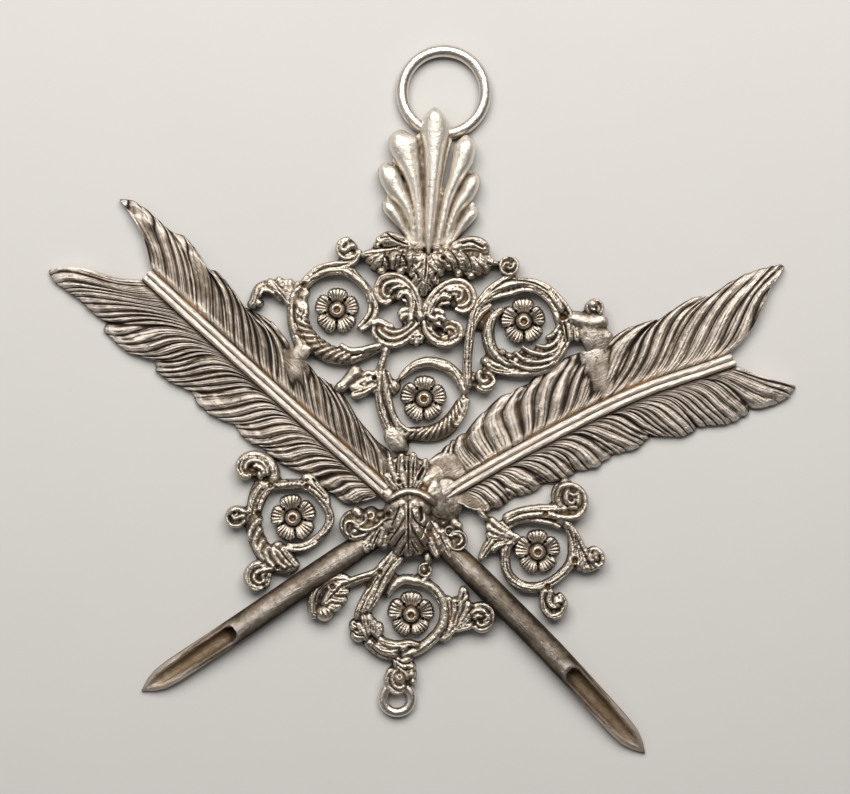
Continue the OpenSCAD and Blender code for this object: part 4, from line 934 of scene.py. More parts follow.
def groundInto(bm, closing, drop):  # fills the narrow gaps between strands to a little below them
    pitch = castingSizes["pitch"]
    rays = BVHTree.FromBMesh(bm)
    places = np.array([v.co.xy for v in bm.verts])
    low, high = places.min(0) - 2 * closing, places.max(0) + 2 * closing
    across, up = (int(n) for n in np.ceil((high - low) / pitch))
    levels = np.zeros((across, up))
    for i in range(across):
        for j in range(up):
            hit = rays.ray_cast((low[0] + i * pitch, low[1] + j * pitch, 9), (0, 0, -1))[0]
            if hit is not None:
                levels[i, j] = max(hit.z, 0)
    reach = int(closing / pitch) + 1
    steps = [(i, j, reach) for i in range(-reach, reach + 1) for j in range(-reach, reach + 1)
             if math.hypot(i, j) * pitch <= closing]
    filled = shifted(shifted(levels, steps, np.maximum), steps, np.minimum)
    near = [(i, j, 1) for i in (-1, 0, 1) for j in (-1, 0, 1)]
    padded = np.pad(filled, 1)
    soft = sum(padded[1 + i:1 + i + across, 1 + j:1 + j + up] for i, j, _ in near) / 9
    ground = bmesh.new()
    bmesh.ops.create_grid(ground, x_segments=across - 1, y_segments=up - 1, size=1)
    empty = []
    for v in ground.verts:
        i, j = int(round((v.co.x + 1) / 2 * (across - 1))), int(round((v.co.y + 1) / 2 * (up - 1)))
        v.co = (low[0] + i * pitch, low[1] + j * pitch, max(min(soft[i, j], filled[i, j]) - drop, 0.35))
        if filled[i, j] < 0.6:
            empty.append(v)
    bmesh.ops.delete(ground, geom=empty, context="VERTS")
    for v in vertsOf(bmesh.ops.extrude_face_region(ground, geom=ground.faces[:])):
        v.co.z = -0.2
    take(bm, ground)


def chaseLines(co, facing):  # fine lines along the broad strands
    for k, places in enumerate(chased):
        route = catmull(places, 0.25)
        if runOf(route)[-1] < 1.8:
            continue
        way = headings(route)
        for side in ((-0.2, 0.22) if route[:, 2].mean() > 1.25 else (0.05,)):
            waver = np.array([noise.noise((p[0] * 0.5, p[1] * 0.5, k + side * 9)) for p in route])
            off = (side + 0.22 * waver) * route[:, 2]
            line = np.column_stack([route[:, 0] - way[:, 1] * off, route[:, 1] + way[:, 0] * off])
            grooveLine(co, facing, line, castingSizes["chaseWidth"], castingSizes["chaseDepth"], 0.15)
    chased.clear()


# Grooves are (width, depth, place, place, ...), eyes (x, y, r) with an optional depth, and melted zones (x, y, r);
# sizes changes the castings' sizes for this one
def cast(nodeName, bm, grooves, eyes, melted=(), **sizes):
    sizes = castingSizes | sizes
    groundInto(bm, sizes["closing"], sizes["drop"])
    mesh = fused(bm, sizes["voxel"], sizes["smoothing"])
    co = readCo(mesh)
    facing = readNormals(mesh)[:, 2]
    for size, amount in sizes["uneven"]:
        roughen(co, size, amount, len(co) % 37)
    chaseLines(co, facing)
    for width, depth, *rows in grooves:
        groove(co, facing, rows, width, depth)
    floors = np.zeros(len(co))
    for x, y, r, *depth in eyes:
        floors = np.maximum(floors, eye(co, x, y, r, *depth))
    writeCo(mesh, co)
    relax(mesh, 1)
    co = readCo(mesh)
    still = np.zeros(len(co))
    for x, y, r in melted:  # solder has run smooth here
        away = np.hypot(*(co[:, :2] - plan(x, y)).T) / (r * gridStep)
        still = np.maximum(still, smoothStep(1.0, 0.65, away))
    if melted:
        soft = mesh.copy()
        relax(soft, sizes["meltedPasses"])
        co += (readCo(soft) - co) * still[:, None]
        bpy.data.meshes.remove(soft)
    for size, amount in sizes["skin"]:
        roughen(co, size, amount * (1 - 0.6 * still), len(co) % 41)
    co[:, 2] = np.maximum(co[:, 2], 0)
    writeCo(mesh, co)
    maskRelief(mesh, fine=5, broad=22, shade=0.3 * floors, stain=0.5 * floors)
    dress(nodeName, thinned(mesh, sizes["triangles"]), castSilver)


# Upper left scroll
bm = bmesh.new()
tube(bm, (304, 287, 8), (313, 278), (323, 272.5), (335, 270.5), (347, 272), (358, 279.5), (366, 288), (370.5, 297),
     (371, 306), top=2.3)
tube(bm, (366, 290, 6), (373, 300), (376, 308), (373.5, 318), (368, 325), (360, 331, 4), top=2.25)
tube(bm, (366, 293, 4), (370, 303), (369.5, 312), (364, 321), (357, 328, 3), top=2.1)
tube(bm, (302, 284, 6), (312.6, 273), (322, 267.6), (335, 264.5), (349.5, 264.5), (355, 261), (358.5, 255),
     (359, 249), top=2.1)
tube(bm, (307, 281, 4), (318, 273.5), (330, 268), (343, 267.5), (352, 270), (362, 279, 3), top=1.9)
disc(bm, 347.5, 248.5, 10, 10, 1.75, 1.75)
spiral(bm, 347.4, 248.6, (10.2, 9.8), -40, -250, (5, 4.4), (2.2, 2.3), deep=1.5)
tube(bm, (349, 240, 5.5), (343, 243.5), (341.5, 249), (344.5, 252.5, 3), top=2.4, deep=1.0)
tube(bm, (357, 247, 6), (351, 246.5), (347, 249.5), (344, 254, 3), top=2.5, deep=1.0)
tube(bm, (352.5, 252.5, 5), (349, 255.5), (344.5, 255, 3), top=2.2, deep=0.9)
tube(bm, (358, 255, 4), (362, 256), (367, 257), top=1.9)
for x, y, w in ((268, 278, 8.5), (278.5, 276, 6), (285.5, 279, 5.5), (291, 278.5, 6.5), (299, 281, 5)):  # husk
    tube(bm, (292 + (x - 285) * 0.15, 306, 4), (291 + (x - 285) * 0.35, 296, w * 0.75),
         (x + (288 - x) * 0.2, y + 7, w), (x, y, w), top=2.15)
tube(bm, (284, 300, 9), (276, 291, 11), (267, 286, 10), (259, 288, 8), (256, 295, 9), (254, 302, 9),
     (248, 308, 8, 1.8), top=1.9)
tube(bm, (276, 294, 4), (268, 290), (262, 291), (260, 298, 3), top=2.1, deep=0.6)
disc(bm, 259, 303, 5, 4.5, 1.9)
tube(bm, (303, 285, 8), (296, 293, 9), (292.5, 305, 9), (292, 317, 9), (294, 329, 9), (298, 340, 10), (303, 349, 10),
     top=2.1)
tube(bm, (309, 291, 6), (303, 299, 7), (299, 309, 7), (297, 320, 6), (298, 331, 4), top=2.2)
tube(bm, (304, 302, 5), (306, 308, 6), (302, 316, 6), (300, 325, 4), top=2.25)
tube(bm, (308, 311, 4), (305, 317, 5), (303, 325, 4), top=2.3)
flutes(bm, ((301, 304, 13), (301, 318, 16), (305, 331, 18), (313, 342, 19), (324, 350, 19), (336, 355, 17),
            (349, 358, 13)), 11, 5.0, lean=1.5, top=2.45, deep=1.3, flip=1)
tube(bm, (308, 342, 12), (320, 351, 14), (334, 357, 13), (350, 359, 10), (366, 354, 8), (384, 347, 6), top=1.95)
tube(bm, (340, 344, 4), (350, 350.5, 6), (361, 350), (372, 347.5), (383, 345.5, 5), top=2.35)
tube(bm, (308, 343, 12, 2.2), (302, 351, 15, 2.15), (297, 359, 15, 1.98), (296, 367, 8, 1.8), deep=0.9)
cast("scroll_upper_left", bm,
     grooves=((1.4, 0.22, (352, 262), (340, 266), (325, 268), (312, 275)),
              (1.5, 0.25, (373, 303), (372, 314), (364, 325)),
              (1.3, 0.2, (272, 281), (280, 291), (288, 302)),
              (1.6, 0.3, (300, 293), (295, 305), (295, 318), (299, 330)),
              (1.4, 0.25, (303, 333), (306, 342), (312, 350)), (1.4, 0.25, (316, 330), (318, 340), (322, 348)),
              (1.3, 0.2, (300, 360), (302, 368), (303, 374))),
     eyes=((304.6, 285, 3.2), (301, 299, 2.2, 0.5)), melted=((299, 355, 17), (303, 301, 12)))

# Upper right scroll
bm = bmesh.new()
tube(bm, (467.5, 389, 8), (467, 369), (468, 348, 8.5), (471, 328), (475, 311), (482, 300.5), (492, 292.5), (505, 286),
     (521, 282.8), (536, 286.5), (550, 295), (559, 306), (562, 313, 7), top=2.3)
tube(bm, (473, 322, 5), (479, 303), (489, 289), (503, 280), (511, 275), (516, 268), top=2.15)
tube(bm, (476, 313, 4), (484, 303), (497, 297), (511, 293.5), (524, 290), (538, 293), (550, 303, 5), (556, 314, 6),
     (558, 324, 6), top=2.15)
tube(bm, (520, 279.5, 4), (534, 281), (548, 287), (560, 298), (569, 310), (573, 318), top=2.0)
tube(bm, (472, 332, 5), (475, 322, 6), (482, 312, 6), (492, 305, 4), top=2.2)
curl(bm, 508.5, 266, 11, 60, -330, 2.3, 2)
spiral(bm, 507.5, 266, (8.4, 7.6), 100, 150, (2.4, 2.2), (2.35, 2.35), deep=0.7)
tube(bm, (498, 262, 5), (494, 263.5, 5), (489, 264, 4), top=1.9)
for rows in (((559, 324, 4.5), (556, 331, 5), (551, 336, 5), (545, 337.5, 3)),
             ((561, 330, 4.5), (556.5, 341, 5), (546, 347, 5), (535, 344.5, 3)),
             ((563, 335, 4.5), (557, 349, 5), (545, 354.5, 5), (531, 352, 4.5), (521, 346, 3)),
             ((565, 341, 4.5), (555, 356.5, 5), (538, 362, 5), (523, 359, 5), (514, 351, 3)),
             ((566, 348, 4.5), (552, 364, 5), (534, 369, 5), (519, 366, 4), (508, 360, 3))):
    tube(bm, *rows, top=2.35, deep=1.2)
tube(bm, (563, 318, 8), (566, 328, 9), (564, 341, 11), (557, 354, 13), (546, 362, 14), (532, 365, 14), (519, 364, 13),
     top=1.9)
tube(bm, (569, 335, 5), (565, 349), (557, 362), (544, 371), (525, 374), (504, 372.5, 4.5), (493, 369.5),
     (486, 363, 4), top=2.1)
tube(bm, (518, 367, 7, 2.1), (508, 364, 9), (498, 357.5, 10), (490.5, 347, 11), (488, 333, 11), (491.5, 320, 9),
     (498, 312, 6), (504, 308, 4), top=2.4)
for x, y in ((503, 352), (509.5, 356), (516, 360.5)):
    disc(bm, x, y, 4.2, 3.4, 2.3, 1.0, -35)
tube(bm, (487, 360, 4), (496, 365), (508, 369), (520, 371), top=2.0)
for rows in (((565, 318, 6), (569, 327, 7), (570, 342, 6)), ((571, 319, 6), (575, 328, 7), (577, 342, 5)),
             ((577, 320, 6), (581, 328, 6), (584, 339, 5)), ((581, 321, 6), (587, 327, 6), (591, 336, 5))):
    tube(bm, *rows, top=2.2)
tube(bm, (566, 317, 12), (577, 320, 15), (590, 322.5, 16), (601, 321.5, 14), (608, 318, 9), top=2.45)
tube(bm, (585, 321, 15, 2.35), (590, 332, 20, 2.28), (595, 343, 21, 2.12), (597, 353, 15, 1.92), (598, 360, 7, 1.75),
     deep=0.75)
tube(bm, (592, 331, 14, 2.25), (603, 336, 14, 2.05), (614, 337, 8, 1.8), deep=0.9)
curl(bm, 594, 308, 10, -60, 300, 2.5, 2)
disc(bm, 592.5, 304.5, 5, 4, 2.8, 0.9)
disc(bm, 485.5, 361, 5.5, 5, 2.15, 1.4)
spiral(bm, 485, 381.5, (9.8, 8.8), 200, 250, (5, 4.4), (2.2, 2.3), deep=1.4)
disc(bm, 485, 381.5, 8.5, 8.5, 1.8, 1.8)
tube(bm, (481.5, 369.5, 5.5), (478.5, 375), (480.5, 380.5), (485, 382), (488.5, 378.5, 4), top=2.45, deep=1.0)
tube(bm, (496, 379, 5), (492, 385), (486, 387.5), (480, 386, 3.5), top=2.35, deep=1.0)
tube(bm, (470, 376, 5), (474, 381, 4), top=2.0)
cast("scroll_upper_right", bm,
     grooves=((1.4, 0.24, (480, 302), (492, 291), (506, 281), (522, 281), (540, 286), (556, 299)),
              (1.3, 0.2, (473, 318), (470, 334), (469, 350)), (1.7, 0.4, (563, 320), (566, 331), (567.5, 343)),
              (1.3, 0.2, (497, 316), (494, 330), (497, 345), (505, 355)),
              (1.3, 0.2, (486, 366), (496, 371), (512, 373)),
              (1.3, 0.18, (596, 342), (592, 356), (589, 366))),
     eyes=((563, 317, 3.4),), melted=((588, 324, 15), (598, 342, 22)))

# Middle scroll
bm = bmesh.new()
tube(bm, (387, 344, 8), (384.5, 356, 7), (381, 368, 8), (379.5, 380, 8), (379.5, 395, 9), (382, 410, 9),
     (387, 425, 9), (393, 437, 9), (399, 446, 9), top=1.9)
tube(bm, (382, 370, 5), (385, 384, 6), (389, 400, 6), (393.5, 415, 6), (399, 428, 6), (404, 438, 5), top=1.95)
tube(bm, (378, 371, 4.5), (373, 374.5), (370.5, 381), (373, 388), (377, 394, 4), top=1.75)
tube(bm, (388, 398, 4), (391, 408), (395, 417), (402, 426), (409, 430.5), (417, 430, 3), top=1.95)
tube(bm, (387, 371, 5, 1.6), (389, 380, 6), (392, 389, 8), (396, 394, 6), top=1.75)
disc(bm, 393.5, 386.5, 7.5, 7.5, 1.75, 1.5)
tube(bm, (386, 430, 11, 1.6), (394, 440, 14), (401, 446, 13), (407, 453, 9, 1.9), top=1.95)
tube(bm, (388, 427, 12, 2.1), (393, 437, 15, 2.15), (398, 445, 16, 2.05), (402, 453, 9, 1.85), deep=0.95)
tube(bm, (403, 436, 9), (413, 434, 12), (428, 434, 14), (442, 430, 16), (452, 421, 15), (459, 409, 12), (463, 398, 9),
     top=1.5)
flutes(bm, ((405, 434, 12), (416, 433, 13), (430, 433, 15), (443, 428, 16), (453, 419, 15), (460, 407, 12),
            (463, 399, 9)), 12, 3.6, lean=2.0, top=1.95, deep=1.0, flip=1)
tube(bm, (467, 397, 6), (465, 407, 7), (461, 418, 6), (455, 427, 4), top=1.9)
tube(bm, (465.5, 395, 9), (462, 385, 9.5), (456.5, 375.5, 10), (447.5, 367, 10), (436, 362.8, 9.5), (425, 362, 9),
     (414, 366, 8), (406, 372, 6.5), (399, 379, 4), top=2.0)
tube(bm, (463, 389, 5), (468, 384, 5), (468, 374, 5), top=1.8)
tube(bm, (361, 373, 8), (356, 371.5, 12), (351, 377, 11), (345, 383.5, 10), (339, 388, 9), (335, 391, 6, 1.8),
     top=2.15)
disc(bm, 355.5, 373.5, 7, 6, 2.3, 1.6, 30)
disc(bm, 361, 386, 14, 10, 1.88, 1.7, 25)
for rows in (((376, 378, 6), (367, 380, 8), (359, 384, 8), (350, 389, 5)),
             ((376, 384, 6), (368, 389, 8), (359, 394, 8), (350, 396, 5)),
             ((375, 375, 4), (368, 373, 5), (363, 377, 4))):
    tube(bm, *rows, top=1.95)
cast("scroll_middle", bm,
     grooves=((1.3, 0.22, (383, 384), (383, 398), (388, 414), (395, 428)),
              (1.2, 0.18, (378, 384), (378, 400), (382, 416), (389, 430)),
              (1.2, 0.2, (392, 404), (396, 414), (402, 423)), (1.2, 0.15, (381, 374), (383, 382), (386, 392)),
              (1.3, 0.2, (345, 387), (355, 383), (364, 386)), (1.2, 0.16, (350, 394), (360, 392), (370, 388))),
     eyes=((467.5, 394, 3.4), (374.5, 378, 2.4, 0.9)), melted=((396, 444, 19), (351, 378, 13)))

# C-scrolls under the collar
bm = bmesh.new()
tube(bm, (418, 316, 12), (416, 300, 14), (408, 288, 15), (395, 281, 12), (386, 284, 10), top=1.9)
disc(bm, 389, 290.5, 13.5, 13.5, 1.95, 1.9)
tube(bm, (420, 318, 6), (419, 303, 7), (413.5, 289, 7), (404, 279.5, 6.5), (392, 275.5, 6), (381, 279, 5.5),
     (376.5, 289, 5), (379, 299), (386, 303), (392, 300, 3.5), top=2.45)
tube(bm, (411, 290, 3.6), (403, 283.5, 4.2), (392, 282), (384.5, 286, 3.8), (383, 293), (386.5, 297.5), (391, 296, 3),
     top=2.5, deep=1.0)
tube(bm, (406, 287.5, 3.6), (398, 287), (391.5, 290), (390, 294.5, 3), top=2.65, deep=1.0)
tube(bm, (397, 300, 5), (400.5, 294, 6.5), (406, 292.5, 7), (411, 297.5, 7.5), (412.5, 307, 7.5), (411, 315, 6),
     top=2.45)
tube(bm, (402, 300, 3), (406.5, 301.5), (407.5, 308), (405.5, 315, 3), top=1.9)
tube(bm, (425, 318, 11), (430, 302, 13), (440, 291, 14), (452, 286, 12), (461, 288, 10), top=1.9)
disc(bm, 460.5, 298, 14, 13.5, 1.95, 1.9)
tube(bm, (423, 320, 5), (426, 305, 5.5), (435, 292, 5.5), (447, 283, 5), (459, 280.5, 5), (469.5, 286, 4.5),
     (474.5, 297, 4.5), (471.5, 308, 4.5), (462, 312, 4.2), (454, 308.5, 3.2), top=2.4)
tube(bm, (439, 293, 3.2), (449, 287, 3.8), (460, 286), (467.5, 291.5), (469, 300.5), (463.5, 306), (456, 305.5, 3),
     top=2.5, deep=1.0)
tube(bm, (446, 291, 3.6), (454, 289.5, 4.2), (461.5, 291.5), (461.5, 297.5, 3.6), (455.5, 302, 3), top=2.65, deep=1.0)
tube(bm, (451, 295, 3), (456.5, 295), (455.5, 299, 2.6), top=2.7, deep=1.0)
tube(bm, (430.5, 316, 6), (431, 306, 7.5), (436.5, 298.5, 8), (445.5, 296, 7), (452.5, 299, 5), top=2.45)
tube(bm, (437, 306, 3.6), (443, 303.5), (451, 303.5, 3), top=1.9)
tube(bm, (418, 322, 12), (408, 333, 14), (394, 338, 15), (382, 333, 11), (378, 327, 8), top=1.85)
tube(bm, (420, 322, 4.6), (412, 329.5, 4.8), (403, 336, 5), (392, 339, 5), (382, 334.5, 4.6), (378, 328, 3.4),
     top=2.3, deep=1.6)
tube(bm, (414, 321, 4.6), (406, 328.5, 5), (396, 332.5, 5), (387, 330.5, 4.4), (383, 327, 3.4), top=2.4, deep=1.6)
tube(bm, (417, 331, 4.6), (406, 341, 5), (392, 345.5, 5), (379.5, 341, 5), (373.5, 332, 4.6), (375, 324, 4), top=2.15)
tube(bm, (371, 325, 5), (379, 321.5, 6), (386, 324.5, 6), (394, 327, 4), top=2.35)
tube(bm, (423, 320, 10), (427, 334, 13), (437, 339, 14), (449, 338, 13), (456, 331, 10), top=1.85)
tube(bm, (424, 320, 5.4), (426.5, 332, 5.6), (435.5, 342, 6), (448, 344.5, 6.4), (458, 339.5, 6), (461.5, 331, 5),
     (457.5, 324, 4.6), (449, 321.5, 3.6), top=2.35)
tube(bm, (443.5, 331, 4), (449, 327), (455, 330), (455.5, 336), (448.5, 339.5, 3), top=2.5, deep=1.2)
tube(bm, (429.5, 326, 4), (433.5, 333.5), (441, 338, 3), top=2.35, deep=1.2)
tube(bm, (448, 332.5, 3.2), (450.5, 334.5, 3), top=2.5, deep=1.0)
for rows in (((409, 309, 5), (402, 311, 6), (398.5, 316, 4)), ((409, 314, 5), (403, 316.5, 6), (400, 321, 4)),
             ((433, 311, 5), (440, 311.5, 6), (445, 315, 4)), ((434, 317, 5), (441, 317.5, 6), (446, 321, 4)),
             ((433, 322, 4), (438, 324, 5), (441, 327, 3))):
    tube(bm, *rows, top=2.35)
tube(bm, (426, 312, 4), (431, 317.5, 5), (438, 321, 5), top=2.55)
tube(bm, (410, 312, 5), (411, 318, 6), (408, 323, 5), top=2.45)
disc(bm, 420.5, 316, 6, 9, 2.55, 2.4)
disc(bm, 433, 324, 4.5, 3.5, 2.0, 1.6)
disc(bm, 416, 338, 9.5, 8.5, 1.75, 1.75)
for x, y in ((407.5, 338.5), (410.5, 344), (416.5, 346.5), (422, 343.5), (425, 338)):
    tube(bm, (416, 330, 3), (416 + (x - 416) * 0.5, 336.5, 4), (x, y, 4.4), top=2.1)
tube(bm, (416, 320, 7), (416, 330, 9), top=2.0)
tube(bm, (462, 333, 4), (467, 336, 4), top=1.9)
tube(bm, (384, 343, 6), (386, 350, 6), top=1.9)
cast("c_scrolls", bm,
     grooves=((1.1, 0.15, (418, 302), (411, 288), (400, 279), (388, 279)),
              (1.1, 0.15, (429, 304), (437, 293), (449, 284)),
              (1.2, 0.2, (412, 316), (417, 321), (419, 328)), (1.2, 0.2, (425, 316), (427, 323), (431, 330))),
     eyes=((413, 337, 1.3, 0.5), (420, 337, 1.3, 0.5)), voxel=0.1)

# Acanthus collar
bm = bmesh.new()
tube(bm, (426, 257, 9, 2.8), (412, 259, 13, 3.0), (396, 260, 14, 3.0), (382, 261, 12, 2.8), (371, 264, 9, 2.4),
     top=2.9)
for rows in (((425, 254, 7, 3.0), (421, 261, 10, 3.15), (417, 268, 8, 2.8)),
             ((414, 252, 7, 3.2), (410, 260, 12, 3.4), (409, 269, 10, 2.85)),
             ((399, 252, 7, 3.2), (394, 260, 12, 3.35), (392, 270, 10, 2.75)),
             ((385, 255, 7, 3.1), (377, 263, 11, 2.95), (371, 270, 9, 2.4)),
             ((382, 256, 6, 3.0), (373, 259, 8, 2.7), (365.5, 262, 6, 2.3))):
    tube(bm, *rows, ends=(0.8, 0.8))
disc(bm, 381.5, 271, 5.5, 4.5, 2.6, 1.8)
disc(bm, 400.5, 271.5, 5.5, 4.5, 2.75, 1.9)
tube(bm, (405, 248, 6), (393, 250, 8), (381, 252, 8), (370, 253.5, 7), (361, 256, 4), top=2.5)
tube(bm, (412, 247, 6, 2.9), (402, 243.5, 12), (391, 241, 14), (381, 241, 10), (376, 243, 6), top=3.05)
tube(bm, (405, 241, 5), (396, 237.5, 7), (387, 236.5, 8), (380, 239, 6), top=3.1, deep=2.2)
disc(bm, 378, 246, 5, 4.5, 2.8, 2.0)
tube(bm, (430, 257, 9, 2.8), (444, 260, 13, 3.0), (459, 262, 14, 3.0), (473, 266, 13, 2.8), (484, 271, 9, 2.4),
     top=2.9)
for rows in (((431, 254, 7, 3.0), (436, 262, 10, 3.15), (442, 269, 8, 2.8)),
             ((443, 252, 7, 3.2), (449, 261, 12, 3.4), (452, 271, 10, 2.85)),
             ((457, 253, 7, 3.2), (463, 262, 12, 3.3), (465, 272, 10, 2.75)),
             ((470, 257, 7, 3.1), (476, 266, 11, 3.0), (477, 277, 9, 2.5)),
             ((475, 259, 7, 3.0), (484, 266, 10, 2.7), (488, 274, 7, 2.3)),
             ((478, 257, 6, 2.9), (486, 261, 7, 2.6), (491, 267, 5, 2.3))):
    tube(bm, *rows, ends=(0.8, 0.8))
disc(bm, 458.5, 273.5, 5, 4.5, 2.75, 1.9)
disc(bm, 471, 276, 5, 4.5, 2.6, 1.8)
tube(bm, (451, 249, 6, 2.9), (462, 246, 13), (474, 245.5, 14), (484, 248.5, 11), (489, 252, 6, 2.7), top=3.05)
tube(bm, (457, 243.5, 5), (468, 240.5, 7), (479, 242, 8), (488, 247, 6), top=3.1, deep=2.2)
tube(bm, (480, 255, 7), (488, 259, 7), (494, 264, 4), top=2.5)
disc(bm, 426, 267, 13, 13, 2.95, 2.8)
for rows in (((424, 261, 6, 3.15), (416, 270, 8, 3.0), (410, 277, 6.5, 2.5)),
             ((424, 269, 6, 3.15), (418, 279, 8, 2.9), (413, 286, 6, 2.4)),
             ((425, 278, 6, 3.0), (421, 287, 7, 2.8), (418.5, 292.5, 5, 2.4)),
             ((428, 261, 6, 3.15), (436, 269, 8, 3.0), (443, 276, 6.5, 2.5)),
             ((428, 269, 6, 3.15), (433, 278, 8, 2.9), (438, 285, 6, 2.4)),
             ((427, 278, 6, 3.0), (428, 286, 7, 2.8), (430.5, 291, 5, 2.4)),
             ((426, 256, 6, 3.2), (425, 275, 7, 3.2), (424, 288, 7, 2.95), (423.5, 297, 4, 2.45))):
    tube(bm, *rows, ends=(0.7, 0.8))
for x in (410, 419, 437, 446):
    disc(bm, x, 248.5, 5, 4, 2.8, 2.2)
cast("acanthus_collar", bm,
     grooves=((1.3, 0.25, (404, 251), (401, 258), (400, 268)), (1.3, 0.25, (386, 254), (383, 262), (382, 269)),
              (1.2, 0.22, (413, 254), (413, 262), (412, 270)), (1.2, 0.22, (397, 254), (396, 262), (394, 271)),
              (1.2, 0.2, (376, 258), (372, 264), (367, 268)),
              (1.3, 0.25, (450, 251), (456, 260), (459, 270)), (1.3, 0.25, (465, 253), (470, 262), (472, 272)),
              (1.2, 0.22, (445, 256), (451, 265), (453, 273)), (1.2, 0.2, (460, 256), (465, 266), (466, 274)),
              (1.6, 0.45, (386, 233), (395, 240), (409, 246)), (1.6, 0.45, (461, 245), (471, 242), (484, 249)),
              (1.5, 0.4, (427, 254), (426, 268), (425, 280)), (1.5, 0.4, (434, 273), (438, 281)),
              (1.5, 0.4, (429, 284), (433, 291)),
              (1.5, 0.35, (402, 246), (388, 248), (372, 249)), (1.4, 0.35, (366, 266), (372, 266)),
              (1.4, 0.3, (486, 264), (492, 265)),
              (1.4, 0.35, (449, 262), (453, 272)), (1.4, 0.3, (482, 255), (489, 255)),
              (2.3, 0.6, (385, 256), (388, 260), (389.5, 265), (388.5, 269)),
              (2.3, 0.6, (402, 256), (405, 259), (407, 264), (406, 268)),
              (2.0, 0.4, (414, 272), (417.5, 275), (419, 280)), (1.8, 0.35, (437, 272), (434.5, 276), (434, 281)),
              (2.2, 0.45, (443, 257), (446, 261), (449, 266))),
     eyes=((443.5, 258.5, 2.6, 0.7), (381.5, 246.5, 2.2, 0.6)), voxel=0.095, closing=0.5, drop=0.24)

# Leaf wrap, cord and volutes at the crossing
bm = bmesh.new()
tube(bm, (409, 494, 30, 3.6), (408.5, 503, 37, 4.1), (408, 515, 40, 4.28), (408, 530, 39, 4.22), (408, 541, 34, 3.85),
     (408, 549, 26, 3.3), ends=(0.5, 0.4))
for rows in (((407, 501, 9, 4.25), (396, 507, 15, 3.85), (385, 514, 11, 3.1)),
             ((407, 510, 11, 4.35), (396, 520, 16, 3.85), (384, 532, 11, 3.05)),
             ((407, 524, 11, 4.35), (397, 534, 16, 3.85), (387, 545, 12, 3.0)),
             ((407, 536, 10, 4.2), (401, 546, 13, 3.6), (394, 554, 10, 2.85)),
             ((410, 501, 9, 4.25), (421, 507, 15, 3.85), (431, 513, 11, 3.1)),
             ((410, 510, 11, 4.35), (421, 520, 16, 3.85), (432, 531, 11, 3.05)),
             ((410, 524, 11, 4.35), (420, 534, 16, 3.85), (429.5, 544, 12, 3.0)),
             ((410, 536, 10, 4.2), (415.5, 546, 13, 3.6), (422, 554, 10, 2.85)),
             ((408.5, 505, 6, 4.42), (408.3, 530, 7, 4.45), (408.5, 549, 9, 3.65), (408.5, 557, 7, 2.9))):
    tube(bm, *rows, ends=(0.6, 0.8))
tube(bm, (386, 500, 5, 3.6), (394, 496, 5.4, 4.1), (402, 492, 5.8), (412, 490.5, 5.8), (421, 493, 5.8),
     (429, 498, 5.4, 4.1), (436, 504, 4.4, 3.5), top=4.4, deep=1.4)
disc(bm, 408, 474, 22, 18, 2.78, 2.6, 0, 0.45)
for rows in (((403, 489, 7), (396, 477, 11), (391, 465, 9), (390, 456, 4)),
             ((407, 489, 7), (403, 474, 11), (401.5, 462, 9), (402, 453, 4)),
             ((410, 489, 7), (412, 474, 11), (413, 462, 10), (413.5, 452, 4)),
             ((414, 489, 8), (420, 478, 12), (424.5, 468, 10), (426, 458, 4)),
             ((400, 490, 7), (391.5, 481, 10), (384.5, 473, 4))):
    tube(bm, *rows, top=2.9)
for rows in (((422, 482, 16, 3.1), (431, 477, 20, 2.75), (440, 472, 17, 2.3), (447, 468, 9, 1.95)),
             ((430, 500, 18, 3.25), (441, 503, 25, 2.85), (453, 506, 22, 2.35), (464, 508, 12, 1.95)),
             ((427, 492, 20, 3.5), (437, 492, 21, 3.15), (446, 490, 13, 2.75))):
    tube(bm, *rows, deep=1.0)
spiral(bm, 355.5, 525, (14.2, 13.6), 105, 250, (4.6, 4.6), (3.0, 3.1), deep=2.6)
disc(bm, 356, 525, 14, 14, 2.7, 2.6)
disc(bm, 371, 517, 9, 11, 2.75, 2.4)
tube(bm, (352, 508.5, 5), (357, 511, 8), (361.5, 516.5, 5), top=3.4, deep=1.4)
tube(bm, (366, 512, 3), (366, 520), (359, 524.5, 3.6), (352, 520.5), (346.5, 522), (346, 530), (350, 536, 2.6),
     top=3.3, deep=1.2)
tube(bm, (354, 524, 3.4), (361, 528.5, 3.6), (369, 529), (378, 525), (384, 518, 3.4), top=3.3, deep=1.2)
tube(bm, (351, 536, 3), (359, 536, 3.4), (368, 532.5), (374, 529, 2.6), top=3.15, deep=1.2)
disc(bm, 355, 531, 3.6, 3.6, 3.15, 1.0)
for rows in (((386, 520, 4.5), (383, 532, 6), (379, 546, 5.5)), ((382, 525, 4.5), (375, 538, 5.5), (371, 549, 5.5)),
             ((376, 528, 4), (369, 538, 4.5), (362, 543, 3.6)),
             ((388, 528, 5), (386, 540, 6), (384, 548, 4.5)), ((372, 541, 6), (365, 546, 7), (370, 551, 6))):
    tube(bm, *rows, top=3.1)
for rows in (((430, 519, 5), (436, 533, 7), (441, 548, 6)), ((434, 522, 4.5), (443, 538, 5.5), (451, 558, 3.8)),
             ((428, 535, 6), (434, 549, 7), (439, 557, 5)),
             ((441, 528, 4.5), (448, 541, 5.5), (452, 550, 3.8))):
    tube(bm, *rows, top=3.1)
disc(bm, 456.5, 540, 10.5, 10.5, 2.75, 2.6)
spiral(bm, 457, 540, (9.6, 9.0), 150, -330, (3.2, 3.2), (3.15, 3.2), deep=1.6)
tube(bm, (450, 537, 3), (455, 533.5, 3.4), (461, 536), (461, 542), (456, 544.5, 2.6), top=3.2, deep=1.0)
